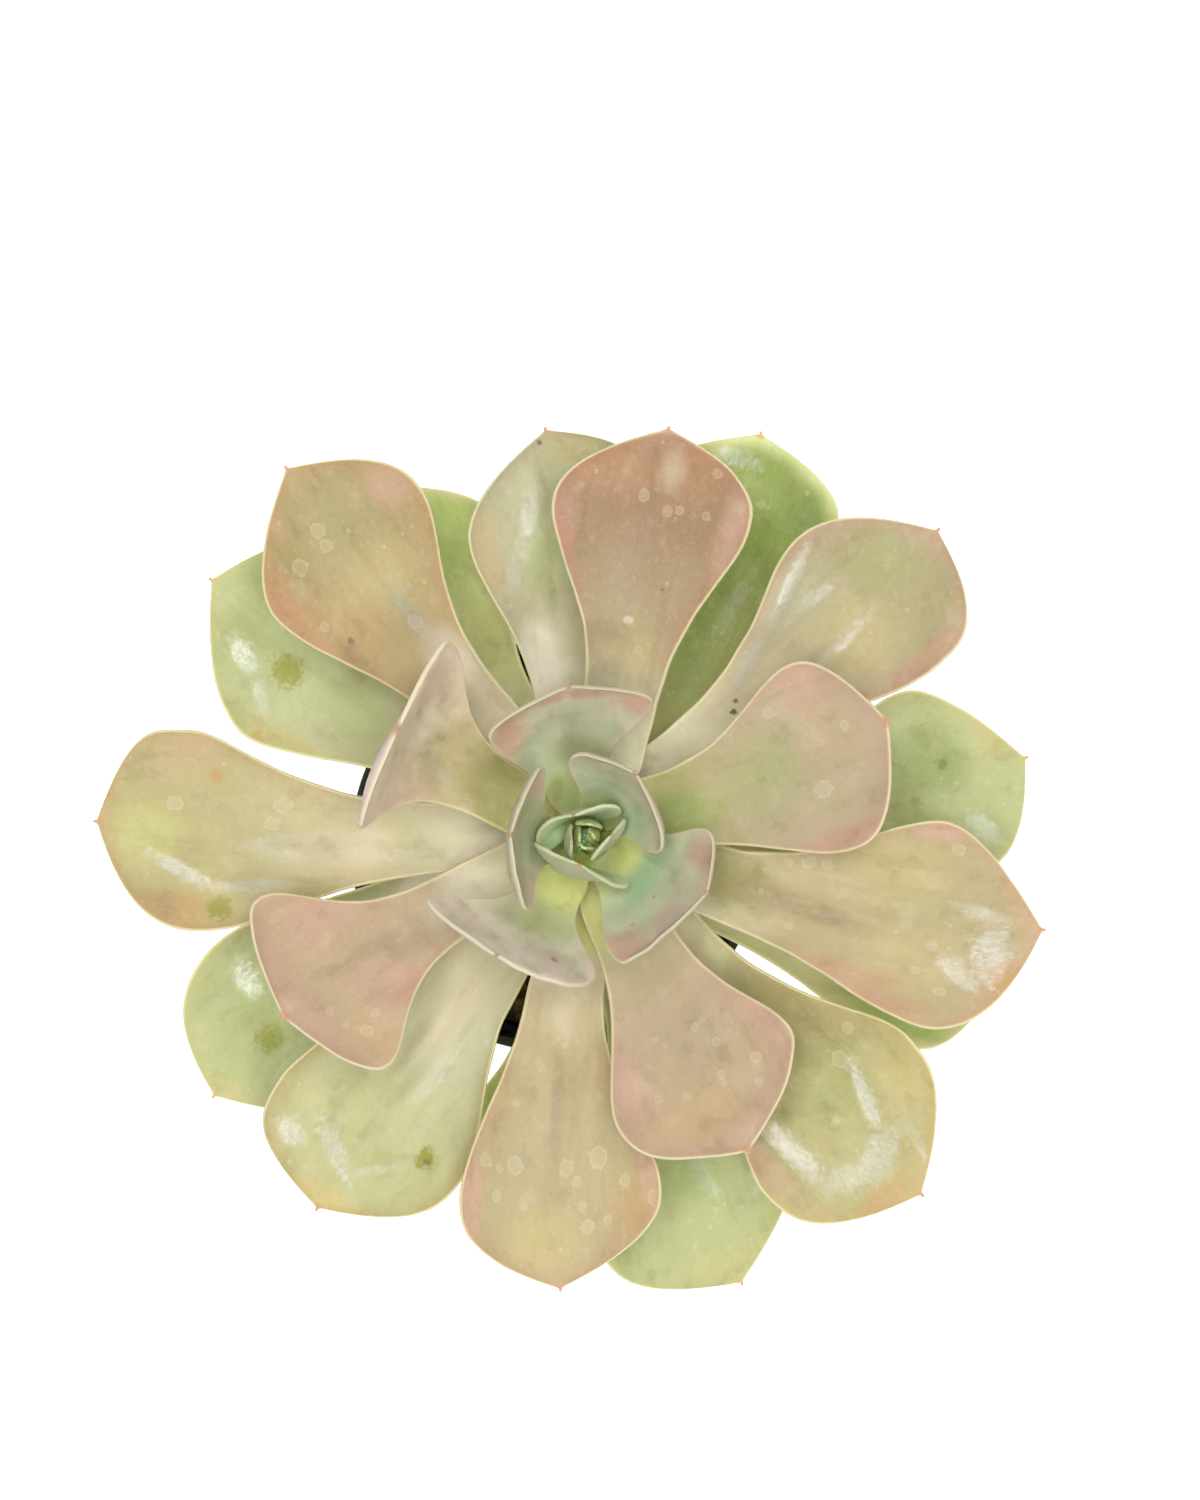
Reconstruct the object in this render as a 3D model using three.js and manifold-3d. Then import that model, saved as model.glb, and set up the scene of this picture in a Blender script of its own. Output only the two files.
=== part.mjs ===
// Potted echeveria: a loose rosette of thick spoon-shaped leaves on a short
// stem, growing in a round thin-walled pot. Millimetres, +Z up.
// The origin is the centre of the pot's foot. Angles are in degrees, counted
// from +X towards +Y as seen from above.

import * as THREE from 'three';
import { mergeVertices } from 'three/addons/utils/BufferGeometryUtils.js';
import Module from 'manifold-3d';

const wasm = await Module();
wasm.setup();

// Pot
const POT_HEIGHT = 75;
const RIM_RADIUS = 45;
const RIM_DEPTH = 8;
const RIM_STEP = 1.6;
const LIP_WIDTH = 2.2;
const LIP_HEIGHT = 1.4;
const SHOULDER_RADIUS = 42.2;
const FOOT_RADIUS = 31;
const POT_WALL = 1.2;
const FLOOR_THICKNESS = 1.6;
const POT_SIDES = 40;
const DRAIN_COUNT = 8;
const DRAIN_WIDTH = 6;
const DRAIN_HEIGHT = 4;
const DRAIN_REACH = 4.5;
const POT_EDGE_ROUNDING = 0.4;
const FOOT_CHAMFER = 1;
const BAND_CHAMFER = 0.8;
const LIP_UNDERCUT = 0.9;

// Soil
const SOIL_DEPTH_BELOW_RIM = 10;
const SOIL_GAP = 0.3;
const SOIL_FLAT_ALLOWANCE = 0.2;
const SOIL_FOOT_CHAMFER = 1.2;
const SOIL_RINGS = 7;
const SOIL_MOUND = 0.8;
const SOIL_ROUGHNESS = 0.5;
const CRUMB_WAVES = { x: 0.9, y: 1.1, slantX: 0.37, slantY: 0.61, shift: 1.3 };
const ROOT_DEPTH = 34;

// Stem, standing beside the pot's axis
const STEM_X = 6.8;
const STEM_Y = 2.8;
const STEM_RADIUS = 7.2;
const STEM_NECK_HEIGHT = 95;
const STEM_TOP_HEIGHT = 111;
const STEM_TOP_RADIUS = 1.6;
const STEM_SIDES = 24;
const STEM_CLEARANCE = 0.1;
const ROOT_CHAMFER = { across: 1.5, along: 2 };
const SEAT_GAP = 0.3;

// Leaf arrangement: each older leaf sits one turn step round and lower
const TURN_STEP = 137.5;
const FIRST_ANGLE = 85.5;
const NEWEST_LEAF_HEIGHT = 110;
const LEAF_SPACING = 1.05;

// The oldest leaf of each tier, counted from the middle; the rest are lower leaves
const HEART_LEAVES = 4;
const INNER_LEAVES = 9;
const UPPER_LEAVES = 14;
const MIDDLE_LEAVES = 22;

// Leaf body
const FULL_THICKNESS = 4.2;
const MARGIN_THICKNESS = 0.8;
const LEAST_THICKNESS = 0.65;
const BUD_THICKNESS = 1.2;
const THICKNESS_STEP = 0.3;
const YOUNGEST_THICKNESS = 0.8;
const BELLY_ROUNDNESS = 0.7;
const TIP_POINT_WIDTH = 1.8;
const TIP_POINT_SHARE = 0.12;
const TIP_POINT_BLUNTNESS = 0.25;
const BLADE_END = 0.975;
const WAIST_HALF_WIDTH = 5.8;
const SEAT_NARROWING = 0.72;
const SEAT_SHARE = 0.14;
const THICKNESS_ALONG = [
  [0, 0.55], [0.12, 0.75], [0.3, 0.95], [0.5, 1], [0.8, 0.68], [0.93, 0.36], [1, 0.16],
];
const UNCURL_START = 0.3;
const LEAST_CURL = 0.01;
const LEAF_STATIONS = [0, 0.06, 0.16, 0.3, 0.44, 0.56, 0.67, 0.76, 0.84, 0.91, 0.965, 1];
const LEAF_COLUMNS = [-1, -0.72, -0.38, 0, 0.38, 0.72, 1];
const BUD_RADIUS = 2.2;
const BUD_CORE_HEIGHT = 4;
const BUD_SHOULDER = { radius: 0.7, height: 0.8 };
const BUD_FOOT_CHAMFER = { across: 0.2, along: 1.2 };
const BUD_SIDES = 16;
const BUD_STATIONS = [0, 0.25, 0.5, 0.72, 0.9, 1];
const BUD_COLUMNS = [-1, -0.5, 0, 0.5, 1];

const PALETTE = {
  pot: { color: 0x17181a, roughness: 0.35, metalness: 0 },
  soil: { color: 0x4a3526, roughness: 0.95, metalness: 0 },
  stem: { color: 0x7d7a4e, roughness: 0.8, metalness: 0 },
  heart: { color: 0x6f9468, roughness: 0.5, metalness: 0 },
  inner: { color: 0x9dae90, roughness: 0.5, metalness: 0 },
  upper: { color: 0xc0a488, roughness: 0.5, metalness: 0 },
  middle: { color: 0xbfae7e, roughness: 0.45, metalness: 0 },
  lower: { color: 0xa5b973, roughness: 0.45, metalness: 0 },
};

// One half of a leaf, left or right of its midrib: the half width where it is
// widest, how far along that is, how blunt the end is, how late the waist
// flares out, how far the half curls up, and what share of the curl is left
// at the tip.
function side(wide, at, blunt, flare, curl = 30, tipCurl = 0.55) {
  return { wide, at, blunt, flare, curl, tipCurl };
}

// A leaf by its age, counted from the middle outwards. Its tip lies at the
// angle aim and the distance reach from the stem, rise above its seat. The
// midrib bends over a control point at the distance belly, bow to the left
// and lift above the seat. The blade faces skew away from its aim.
function leaf(age, path, left, right) {
  return { age, bow: 0, skew: 0, ...path, left, right };
}

const LEAVES = [
  leaf(1, { aim: 180, reach: 2.9, rise: 12, lift: 6, belly: 4.6, waist: 2 },
    side(3.6, 0.62, 2, 2, 20), side(3.8, 0.62, 2, 2, 20)),
  leaf(2, { aim: 10, skew: -66, reach: 4.8, rise: 13, lift: 4, belly: 6.4, bow: -2.6, waist: 2.2 },
    side(4.6, 0.7, 3, 1.6, 40, 1), side(6.2, 0.7, 2.6, 2.2, -30, 1)),
  leaf(3, { aim: 122, skew: -22, reach: 5.2, rise: 13, lift: 2.6, belly: 4.9, bow: -3, waist: 2.8 },
    side(9.2, 0.64, 3.6, 1.8, 84, -0.2), side(9.2, 0.76, 3.2, 2, 36, -0.8)),
  leaf(4, { aim: 254, skew: 1, reach: 5.2, rise: 17, lift: 4, belly: 9, bow: -6, waist: 3.4 },
    side(12.4, 0.72, 3, 1.8, 20, -1.5), side(9, 0.78, 3.4, 2.8, 56, 0.1)),
  leaf(5, { aim: 54, skew: -9, reach: 16.4, rise: 26, lift: 10, belly: 10, waist: 4.6 },
    side(11.8, 0.76, 2.2, 1.3, 52), side(14.2, 0.76, 2.4, 1.3, 54)),
  leaf(6, { aim: 176, skew: -2, reach: 15.2, rise: 29, lift: 9, belly: 13.4, waist: 4.6 },
    side(14.5, 0.77, 2.4, 2, 42), side(14.5, 0.77, 2.4, 2, 38)),
  leaf(7, { aim: 336, skew: -8, reach: 26.5, rise: 26, lift: 10, belly: 15.5, waist: 6.4 },
    side(11.6, 0.8, 2.8, 2.2, 38), side(20.4, 0.8, 1.7, 1, 44)),
  leaf(8, { aim: 97, skew: 5, reach: 31, rise: 29, lift: 12, belly: 21, waist: 5.6 },
    side(17, 0.79, 2, 1.4, 34), side(16.8, 0.84, 2.6, 1.9, 28)),
  leaf(9, { aim: 232, skew: 13, reach: 29.4, rise: 32, lift: 9, belly: 23.5, waist: 5.6 },
    side(18, 0.66, 2.6, 2, 12, -1.6), side(19, 0.84, 2, 2.2, 12)),
  leaf(10, { aim: 21.6, reach: 65.3, rise: 32, lift: 13, belly: 38, bow: -3, waist: 7.8 },
    side(19, 0.79, 2.7, 1.9), side(20.8, 0.77, 2.2, 1.6)),
  leaf(11, { aim: 149.5, reach: 43.5, rise: 42, lift: 9.5, belly: 44, waist: 6.4 },
    side(20.4, 0.86, 3, 2.6, 24), side(21.2, 0.87, 4.6, 1.9, 22, -0.6)),
  leaf(12, { aim: 297.4, reach: 71.2, rise: 32, lift: 13, belly: 42, bow: -2, waist: 7.8 },
    side(20, 0.75, 2, 2.2), side(20.7, 0.77, 2.4, 2)),
  leaf(13, { aim: 78.8, reach: 85.4, rise: 29, lift: 18, belly: 46, waist: 7 },
    side(20.9, 0.78, 2.4, 2.2), side(19.4, 0.8, 2.6, 2.5)),
  leaf(14, { aim: 210.4, reach: 71.2, rise: 34, lift: 12.5, belly: 46, bow: -4, waist: 6.6 },
    side(20.5, 0.83, 2.6, 3), side(22.4, 0.87, 3, 3.2)),
  leaf(15, { aim: 348.7, reach: 95.7, rise: 26, lift: 24, belly: 51, bow: -11, waist: 7 },
    side(22, 0.76, 1.9, 1.9), side(20.3, 0.77, 2, 2.4)),
  leaf(16, { aim: 129.1, reach: 98, rise: 28, lift: 18, belly: 53, bow: 5, waist: 6.4 },
    side(20, 0.765, 1.7, 2.2), side(19.8, 0.79, 2.5, 2.8)),
  leaf(17, { aim: 266.6, reach: 93.2, rise: 26, lift: 20, belly: 50, bow: -3.5, waist: 7 },
    side(21.2, 0.77, 2.3, 2.4), side(20, 0.8, 2.5, 2)),
  leaf(18, { aim: 41.3, reach: 96.4, rise: 26, lift: 22, belly: 52, bow: -4, waist: 7 },
    side(19.4, 0.76, 2.2, 2.3), side(19.5, 0.79, 3.3, 2.3)),
  leaf(19, { aim: 178.1, reach: 102, rise: 24, lift: 19, belly: 55, bow: 3.5, waist: 7 },
    side(20.6, 0.77, 2.6, 2.1), side(20.4, 0.82, 3.6, 2.6)),
  leaf(20, { aim: 313.1, reach: 102, rise: 22, lift: 20, belly: 55, bow: -4 },
    side(21.3, 0.74, 2.3, 2.3), side(22.6, 0.77, 2.6, 2.4)),
  leaf(21, { aim: 95.9, reach: 85.5, rise: 22, lift: 19, belly: 46, bow: 2, waist: 7 },
    side(17.9, 0.74, 1.7, 2.2), side(18, 0.78, 6, 2.3)),
  leaf(22, { aim: 234, reach: 96.5, rise: 19, lift: 17, belly: 52, bow: -1, waist: 7.6 },
    side(21.7, 0.75, 2.8, 2.2), side(21.2, 0.79, 3.7, 2.2)),
  leaf(23, { aim: 10.2, reach: 93.8, rise: 17, lift: 14, belly: 50, bow: -6 },
    side(20.6, 0.76, 1.8, 1.8), side(20.2, 0.78, 3, 2.3)),
  leaf(24, { aim: 145.7, reach: 96, rise: 18, lift: 14, belly: 52, bow: 4, waist: 7 },
    side(21.2, 0.73, 1.7, 1.9), side(20.6, 0.78, 3, 2.3)),
  leaf(25, { aim: 289, reach: 100.5, rise: 13, lift: 10, belly: 54, bow: -1 },
    side(20.2, 0.78, 1.6, 2.3), side(24.6, 0.78, 3.3, 2.3)),
  leaf(26, { aim: 66.7, reach: 92.7, rise: 16, lift: 11, belly: 50, bow: -1 },
    side(21, 0.78, 2, 2.3), side(21.8, 0.78, 3.8, 1.4)),
  leaf(27, { aim: 215, reach: 97.4, rise: 11, lift: 8, belly: 52, bow: -9 },
    side(20, 0.78, 2.8, 2.3), side(20.2, 0.75, 2.7, 2.1)),
  leaf(28, { aim: 340, reach: 93, rise: 11, lift: 8, belly: 50, bow: -4, waist: 7 },
    side(19, 0.78, 2.4, 2.3), side(17.4, 0.8, 3, 2.3)),
  leaf(29, { aim: 118.4, reach: 85, rise: 10, lift: 8, belly: 46, bow: 3, waist: 3.8 },
    side(18, 0.78, 2.4, 2.3), side(15.5, 0.78, 2, 2.7)),
  leaf(30, { aim: 262, reach: 74, rise: 9, lift: 7, belly: 41, bow: -2, waist: 3.8 },
    side(13, 0.78, 2.4, 2.3), side(13, 0.78, 2.8, 4)),
];

const BUD_LEAVES = [
  leaf(0, { aim: 80, reach: 2.6, rise: 9.4, lift: 5, belly: 3.4, waist: 1.6, seat: 112 },
    side(2.6, 0.6, 2, 1.6, 40), side(2.6, 0.6, 2, 1.6, 40)),
  leaf(-1, { aim: 240, reach: 1.8, rise: 8, lift: 4.4, belly: 1.4, waist: 1.1, seat: 112.8 },
    side(1.5, 0.6, 2, 1.6, 40), side(2.3, 0.6, 2, 1.6, 40)),
  leaf(-2, { aim: 175, reach: 1.2, rise: 7.8, lift: 4, belly: 2.6, waist: 1.3, seat: 112.6 },
    side(2, 0.55, 2, 1.6, 40), side(2, 0.55, 2, 1.6, 40)),
  leaf(-3, { aim: 30, reach: 0.9, rise: 6.6, lift: 4, belly: 2.2, waist: 1.2, seat: 112.8 },
    side(1.6, 0.55, 2, 1.6, 40), side(1.6, 0.55, 2, 1.6, 40)),
];

const radians = THREE.MathUtils.degToRad;
const lerp = THREE.MathUtils.lerp;
const clamp = THREE.MathUtils.clamp;
const UP = new THREE.Vector3(0, 0, 1);

function fromStem(angle, distance, height) {
  const a = radians(angle);
  return new THREE.Vector3(STEM_X + distance * Math.cos(a), STEM_Y + distance * Math.sin(a), height);
}

// Reads a value between the nearest two of a few [place, value] steps.
function steps(table, x) {
  for (let i = 1; i < table.length; i += 1) {
    const [x0, y0] = table[i - 1];
    const [x1, y1] = table[i];
    if (x <= x1) return lerp(y0, y1, clamp((x - x0) / (x1 - x0), 0, 1));
  }
  return table[table.length - 1][1];
}

const easeInOut = (x) => x * x * (3 - 2 * x);

// The stem is a cylinder that tapers to the growing point above the neck.
function stemRadius(height) {
  const x = clamp((height - STEM_NECK_HEIGHT) / (STEM_TOP_HEIGHT - STEM_NECK_HEIGHT), 0, 1);
  return lerp(STEM_RADIUS, STEM_TOP_RADIUS, x);
}

// Half width at a place along the leaf: a seat, a narrow waist, the broad
// blade and a short point.
function halfWidth(t, half, waist) {
  const flare = easeInOut(clamp(t / half.at, 0, 1) ** half.flare);
  const seat = lerp(SEAT_NARROWING, 1, easeInOut(clamp(t / SEAT_SHARE, 0, 1)));
  if (t < half.at) return seat * lerp(waist, half.wide, flare);
  const x = (t - half.at) / (1 - half.at);
  const blade = half.wide * (1 - clamp(x / BLADE_END, 0, 1) ** half.blunt);
  const point = (TIP_POINT_WIDTH / 2) * clamp((1 - x) / TIP_POINT_SHARE, TIP_POINT_BLUNTNESS, 1);
  return Math.max(blade, point);
}

function leafThickness(age) {
  return clamp(BUD_THICKNESS + THICKNESS_STEP * age, YOUNGEST_THICKNESS, FULL_THICKNESS);
}

function curlAt(t, half) {
  const x = clamp((t - UNCURL_START) / (1 - UNCURL_START), 0, 1);
  const curl = radians(half.curl) * lerp(1, half.tipCurl, x * x);
  return Math.abs(curl) < LEAST_CURL ? LEAST_CURL : curl;
}

// Both faces of a leaf as grids of points, rows from the seat to the tip.
function leafFaces(shape, stations, columns) {
  const { age, aim, reach, rise, lift, belly, bow, skew, left, right } = shape;
  const seatHeight = shape.seat ?? NEWEST_LEAF_HEIGHT - LEAF_SPACING * age;
  const seatAngle = FIRST_ANGLE + TURN_STEP * age;
  const waist = shape.waist ?? WAIST_HALF_WIDTH;
  const thick = leafThickness(age);
  const across = fromStem(aim + skew + 90, 1, 0).sub(fromStem(0, 0, 0));
  const turn = ((seatAngle - aim + 540) % 360) - 180;
  const start = fromStem(seatAngle, stemRadius(seatHeight) + SEAT_GAP, seatHeight);
  const control = fromStem(aim + turn / 2, belly, seatHeight + lift).addScaledVector(across, bow);
  const tip = fromStem(aim, reach, seatHeight + rise);
  const midrib = new THREE.QuadraticBezierCurve3(start, control, tip);
  const upper = [];
  const lower = [];
  for (const t of stations) {
    const centre = midrib.getPointAt(t);
    const along = midrib.getTangentAt(t);
    const sideways = across.clone().addScaledVector(along, -across.dot(along)).normalize();
    const face = along.clone().cross(sideways);
    const body = Math.max(LEAST_THICKNESS, thick * steps(THICKNESS_ALONG, t));
    const edge = Math.min(MARGIN_THICKNESS, body);
    const topRow = [];
    const bottomRow = [];
    for (const u of columns) {
      const half = u > 0 ? left : right;
      const curl = curlAt(t, half);
      const radius = halfWidth(t, half, waist) / Math.sin(curl);
      const bend = curl * u;
      const top = centre.clone();
      top.addScaledVector(sideways, radius * Math.sin(bend));
      top.addScaledVector(face, radius * (1 - Math.cos(bend)));
      const depth = edge + (body - edge) * (1 - u * u) ** BELLY_ROUNDNESS;
      const bottom = top.clone();
      bottom.addScaledVector(sideways, depth * Math.sin(bend));
      bottom.addScaledVector(face, -depth * Math.cos(bend));
      topRow.push(top);
      bottomRow.push(bottom);
    }
    upper.push(topRow);
    lower.push(bottomRow);
  }
  upper[0].forEach(seatOnStem);
  lower[0].forEach(seatOnStem);
  return { upper, lower };
}

// Moves a point of a leaf's seat level with the stem's surface, just clear of it.
function seatOnStem(point) {
  const dx = point.x - STEM_X;
  const dy = point.y - STEM_Y;
  const scale = (stemRadius(point.z) + SEAT_GAP) / Math.hypot(dx, dy);
  point.x = STEM_X + dx * scale;
  point.y = STEM_Y + dy * scale;
}

// Closes two facing grids into one body, split into triangles alike.
function closeFaces({ upper, lower }) {
  const rows = upper.length;
  const columns = upper[0].length;
  const points = [...upper.flat(), ...lower.flat()];
  const top = (i, j) => i * columns + j;
  const bottom = (i, j) => rows * columns + i * columns + j;
  const index = [];
  const quad = (a, b, c, d) => index.push(a, b, c, a, c, d);
  for (let i = 0; i < rows - 1; i += 1) {
    for (let j = 0; j < columns - 1; j += 1) {
      quad(top(i, j), top(i + 1, j), top(i + 1, j + 1), top(i, j + 1));
      index.push(bottom(i, j), bottom(i + 1, j + 1), bottom(i + 1, j));
      index.push(bottom(i, j), bottom(i, j + 1), bottom(i + 1, j + 1));
    }
    quad(top(i, 0), bottom(i, 0), bottom(i + 1, 0), top(i + 1, 0));
    const last = columns - 1;
    quad(top(i, last), top(i + 1, last), bottom(i + 1, last), bottom(i, last));
  }
  for (let j = 0; j < columns - 1; j += 1) {
    quad(top(0, j), top(0, j + 1), bottom(0, j + 1), bottom(0, j));
    const end = rows - 1;
    quad(top(end, j), bottom(end, j), bottom(end, j + 1), top(end, j + 1));
  }
  const geometry = new THREE.BufferGeometry().setFromPoints(points);
  geometry.setIndex(index);
  return geometry;
}

// Solids for the boolean steps
function solidOf(geometry) {
  const bare = geometry.clone();
  bare.deleteAttribute('normal');
  bare.deleteAttribute('uv');
  const merged = mergeVertices(bare, 1e-4);
  return new wasm.Manifold(new wasm.Mesh({
    numProp: 3,
    vertProperties: Float32Array.from(merged.attributes.position.array),
    triVerts: Uint32Array.from(merged.index.array),
  }));
}

function geometryOf(solid) {
  const mesh = solid.getMesh();
  const geometry = new THREE.BufferGeometry();
  geometry.setAttribute('position', new THREE.BufferAttribute(Float32Array.from(mesh.vertProperties), 3));
  geometry.setIndex(new THREE.BufferAttribute(Uint32Array.from(mesh.triVerts), 1));
  return geometry;
}

// A body turned round the vertical axis from a list of [radius, height] points.
function turned(profile, sides) {
  const outline = profile.map(([radius, height]) => new THREE.Vector2(radius, height));
  return new THREE.LatheGeometry(outline, sides).rotateX(Math.PI / 2);
}

function piece(name, geometry, finish) {
  geometry.computeVertexNormals();
  const mesh = new THREE.Mesh(geometry, new THREE.MeshStandardMaterial(PALETTE[finish]));
  mesh.name = name;
  return mesh;
}

// Pot: tapered wall, stepped rim band with a rolled lip, drain slots at the foot
function wallRadius(height) {
  return lerp(FOOT_RADIUS, SHOULDER_RADIUS, height / (POT_HEIGHT - RIM_DEPTH));
}

function makePot() {
  const band = POT_HEIGHT - RIM_DEPTH;
  const bandRadius = wallRadius(band) + RIM_STEP;
  const innerBand = bandRadius - POT_WALL;
  const profile = [
    [0, 0],
    [FOOT_RADIUS - FOOT_CHAMFER, 0],
    [FOOT_RADIUS, FOOT_CHAMFER],
    [wallRadius(band), band],
    [bandRadius, band + BAND_CHAMFER],
    [RIM_RADIUS - LIP_UNDERCUT, POT_HEIGHT - LIP_HEIGHT - POT_EDGE_ROUNDING],
    [RIM_RADIUS, POT_HEIGHT - LIP_HEIGHT],
    [RIM_RADIUS, POT_HEIGHT - POT_EDGE_ROUNDING],
    [RIM_RADIUS - POT_EDGE_ROUNDING, POT_HEIGHT],
    [RIM_RADIUS - LIP_WIDTH + POT_EDGE_ROUNDING, POT_HEIGHT],
    [RIM_RADIUS - LIP_WIDTH, POT_HEIGHT - POT_EDGE_ROUNDING],
    [innerBand, band + BAND_CHAMFER],
    [wallRadius(band) - POT_WALL, band - BAND_CHAMFER],
    [wallRadius(FLOOR_THICKNESS + FOOT_CHAMFER) - POT_WALL, FLOOR_THICKNESS + FOOT_CHAMFER],
    [wallRadius(FLOOR_THICKNESS) - POT_WALL - FOOT_CHAMFER, FLOOR_THICKNESS],
    [0, FLOOR_THICKNESS],
  ];
  let pot = solidOf(turned(profile, POT_SIDES));
  for (let i = 0; i < DRAIN_COUNT; i += 1) {
    const slot = new THREE.BoxGeometry(2 * DRAIN_REACH, DRAIN_WIDTH, 2 * DRAIN_HEIGHT);
    slot.translate(FOOT_RADIUS, 0, 0).rotateZ(((i + 0.5) * 2 * Math.PI) / DRAIN_COUNT);
    pot = pot.subtract(solidOf(slot));
  }
  return piece('pot', geometryOf(pot), 'pot');
}

function crumbs(x, y) {
  const { x: acrossX, y: acrossY, slantX, slantY, shift } = CRUMB_WAVES;
  return Math.sin(acrossX * x + shift) * Math.sin(acrossY * y) + Math.sin(slantX * x - slantY * y);
}

// Soil: fills the pot to below the rim, with a crumbly top and a hole for the root
function makeSoil() {
  const top = POT_HEIGHT - SOIL_DEPTH_BELOW_RIM;
  const foot = FLOOR_THICKNESS + SOIL_GAP;
  const clearance = POT_WALL + SOIL_GAP + SOIL_FLAT_ALLOWANCE;
  const radius = wallRadius(top) - clearance;
  const profile = [
    [0, foot],
    [wallRadius(foot) - clearance - SOIL_FOOT_CHAMFER, foot],
    [wallRadius(foot + SOIL_FOOT_CHAMFER) - clearance, foot + SOIL_FOOT_CHAMFER],
  ];
  for (let ring = SOIL_RINGS; ring >= 0; ring -= 1) {
    profile.push([(radius * ring) / SOIL_RINGS, top]);
  }
  const soil = turned(profile, POT_SIDES);
  const place = soil.attributes.position;
  for (let i = 0; i < place.count; i += 1) {
    const x = place.getX(i);
    const y = place.getY(i);
    const onTop = place.getZ(i) > foot + SOIL_FOOT_CHAMFER;
    if (onTop && Math.hypot(x, y) < (radius * (SOIL_RINGS - 1)) / SOIL_RINGS + SOIL_GAP) {
      place.setZ(i, top + SOIL_MOUND + SOIL_ROUGHNESS * crumbs(x, y));
    }
  }
  const holeRadius = STEM_RADIUS + SEAT_GAP;
  const hole = new THREE.CylinderGeometry(holeRadius, holeRadius, 2 * ROOT_DEPTH, STEM_SIDES);
  hole.rotateX(Math.PI / 2).translate(STEM_X, STEM_Y, top);
  return piece('soil', geometryOf(solidOf(soil).subtract(solidOf(hole))), 'soil');
}

// Stem: stands in the soil and carries every leaf
function makeStem() {
  const foot = POT_HEIGHT - SOIL_DEPTH_BELOW_RIM - ROOT_DEPTH + SEAT_GAP;
  const profile = [
    [0, foot],
    [STEM_RADIUS - ROOT_CHAMFER.across, foot],
    [STEM_RADIUS - STEM_CLEARANCE, foot + ROOT_CHAMFER.along],
    [STEM_RADIUS - STEM_CLEARANCE, STEM_NECK_HEIGHT],
    [stemRadius(STEM_TOP_HEIGHT) - STEM_CLEARANCE, STEM_TOP_HEIGHT],
    [0, STEM_TOP_HEIGHT],
  ];
  const stem = turned(profile, STEM_SIDES);
  stem.translate(STEM_X, STEM_Y, 0);
  return piece('stem', stem, 'stem');
}

function finishOf(age) {
  if (age <= HEART_LEAVES) return 'heart';
  if (age <= INNER_LEAVES) return 'inner';
  if (age <= UPPER_LEAVES) return 'upper';
  return age <= MIDDLE_LEAVES ? 'middle' : 'lower';
}

// Bud: the youngest leaves, grown together round the growing point
function makeBud() {
  const foot = STEM_TOP_HEIGHT + SEAT_GAP;
  const core = turned([
    [0, foot],
    [BUD_RADIUS - BUD_FOOT_CHAMFER.across, foot],
    [BUD_RADIUS, foot + BUD_FOOT_CHAMFER.along],
    [BUD_RADIUS * BUD_SHOULDER.radius, STEM_TOP_HEIGHT + BUD_SHOULDER.height * BUD_CORE_HEIGHT],
    [0, STEM_TOP_HEIGHT + BUD_CORE_HEIGHT],
  ], BUD_SIDES);
  core.translate(STEM_X, STEM_Y, 0);
  let bud = solidOf(core);
  for (const shape of BUD_LEAVES) {
    bud = bud.add(solidOf(closeFaces(leafFaces(shape, BUD_STATIONS, BUD_COLUMNS))));
  }
  return piece('bud', geometryOf(bud), 'heart');
}

function makeLeaf(shape) {
  const small = shape.age <= HEART_LEAVES;
  const stations = small ? BUD_STATIONS : LEAF_STATIONS;
  const faces = leafFaces(shape, stations, small ? BUD_COLUMNS : LEAF_COLUMNS);
  const number = String(shape.age).padStart(2, '0');
  return piece(`leaf_${number}`, closeFaces(faces), finishOf(shape.age));
}

const echeveria = new THREE.Group();
echeveria.add(makePot(), makeSoil(), makeStem(), makeBud(), ...LEAVES.map(makeLeaf));

export default echeveria;
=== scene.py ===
"""Potted echeveria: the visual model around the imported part. Metres, +Z up.

The leaf surfaces are worked out in millimetres from the same values as the
part's source, on a finer grid, and each carries attributes in leaf coordinates
(across, along, distance to the margin) that its procedural material reads.
"""

import math

import bmesh
import bpy
import numpy as np
from mathutils import Matrix, Vector


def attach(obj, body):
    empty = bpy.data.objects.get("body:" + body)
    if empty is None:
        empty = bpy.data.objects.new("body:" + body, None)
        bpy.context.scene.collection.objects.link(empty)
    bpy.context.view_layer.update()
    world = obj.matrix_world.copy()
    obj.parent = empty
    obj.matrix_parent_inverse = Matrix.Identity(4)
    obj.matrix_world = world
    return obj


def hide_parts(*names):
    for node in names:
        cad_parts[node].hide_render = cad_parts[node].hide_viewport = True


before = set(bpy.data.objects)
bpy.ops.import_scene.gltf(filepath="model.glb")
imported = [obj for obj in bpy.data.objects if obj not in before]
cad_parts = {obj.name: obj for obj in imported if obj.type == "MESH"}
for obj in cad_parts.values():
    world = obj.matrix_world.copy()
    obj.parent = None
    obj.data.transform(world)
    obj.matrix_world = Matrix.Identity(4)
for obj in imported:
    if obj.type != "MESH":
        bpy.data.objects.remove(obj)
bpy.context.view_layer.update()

MM = 0.001
BODY = "root"

# Camera over the plant, looking straight down
CAMERA_PLACE = (0.0094, 0.0209, 0.846)
CAMERA_LENS = 85
CAMERA_SENSOR = 36

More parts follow.
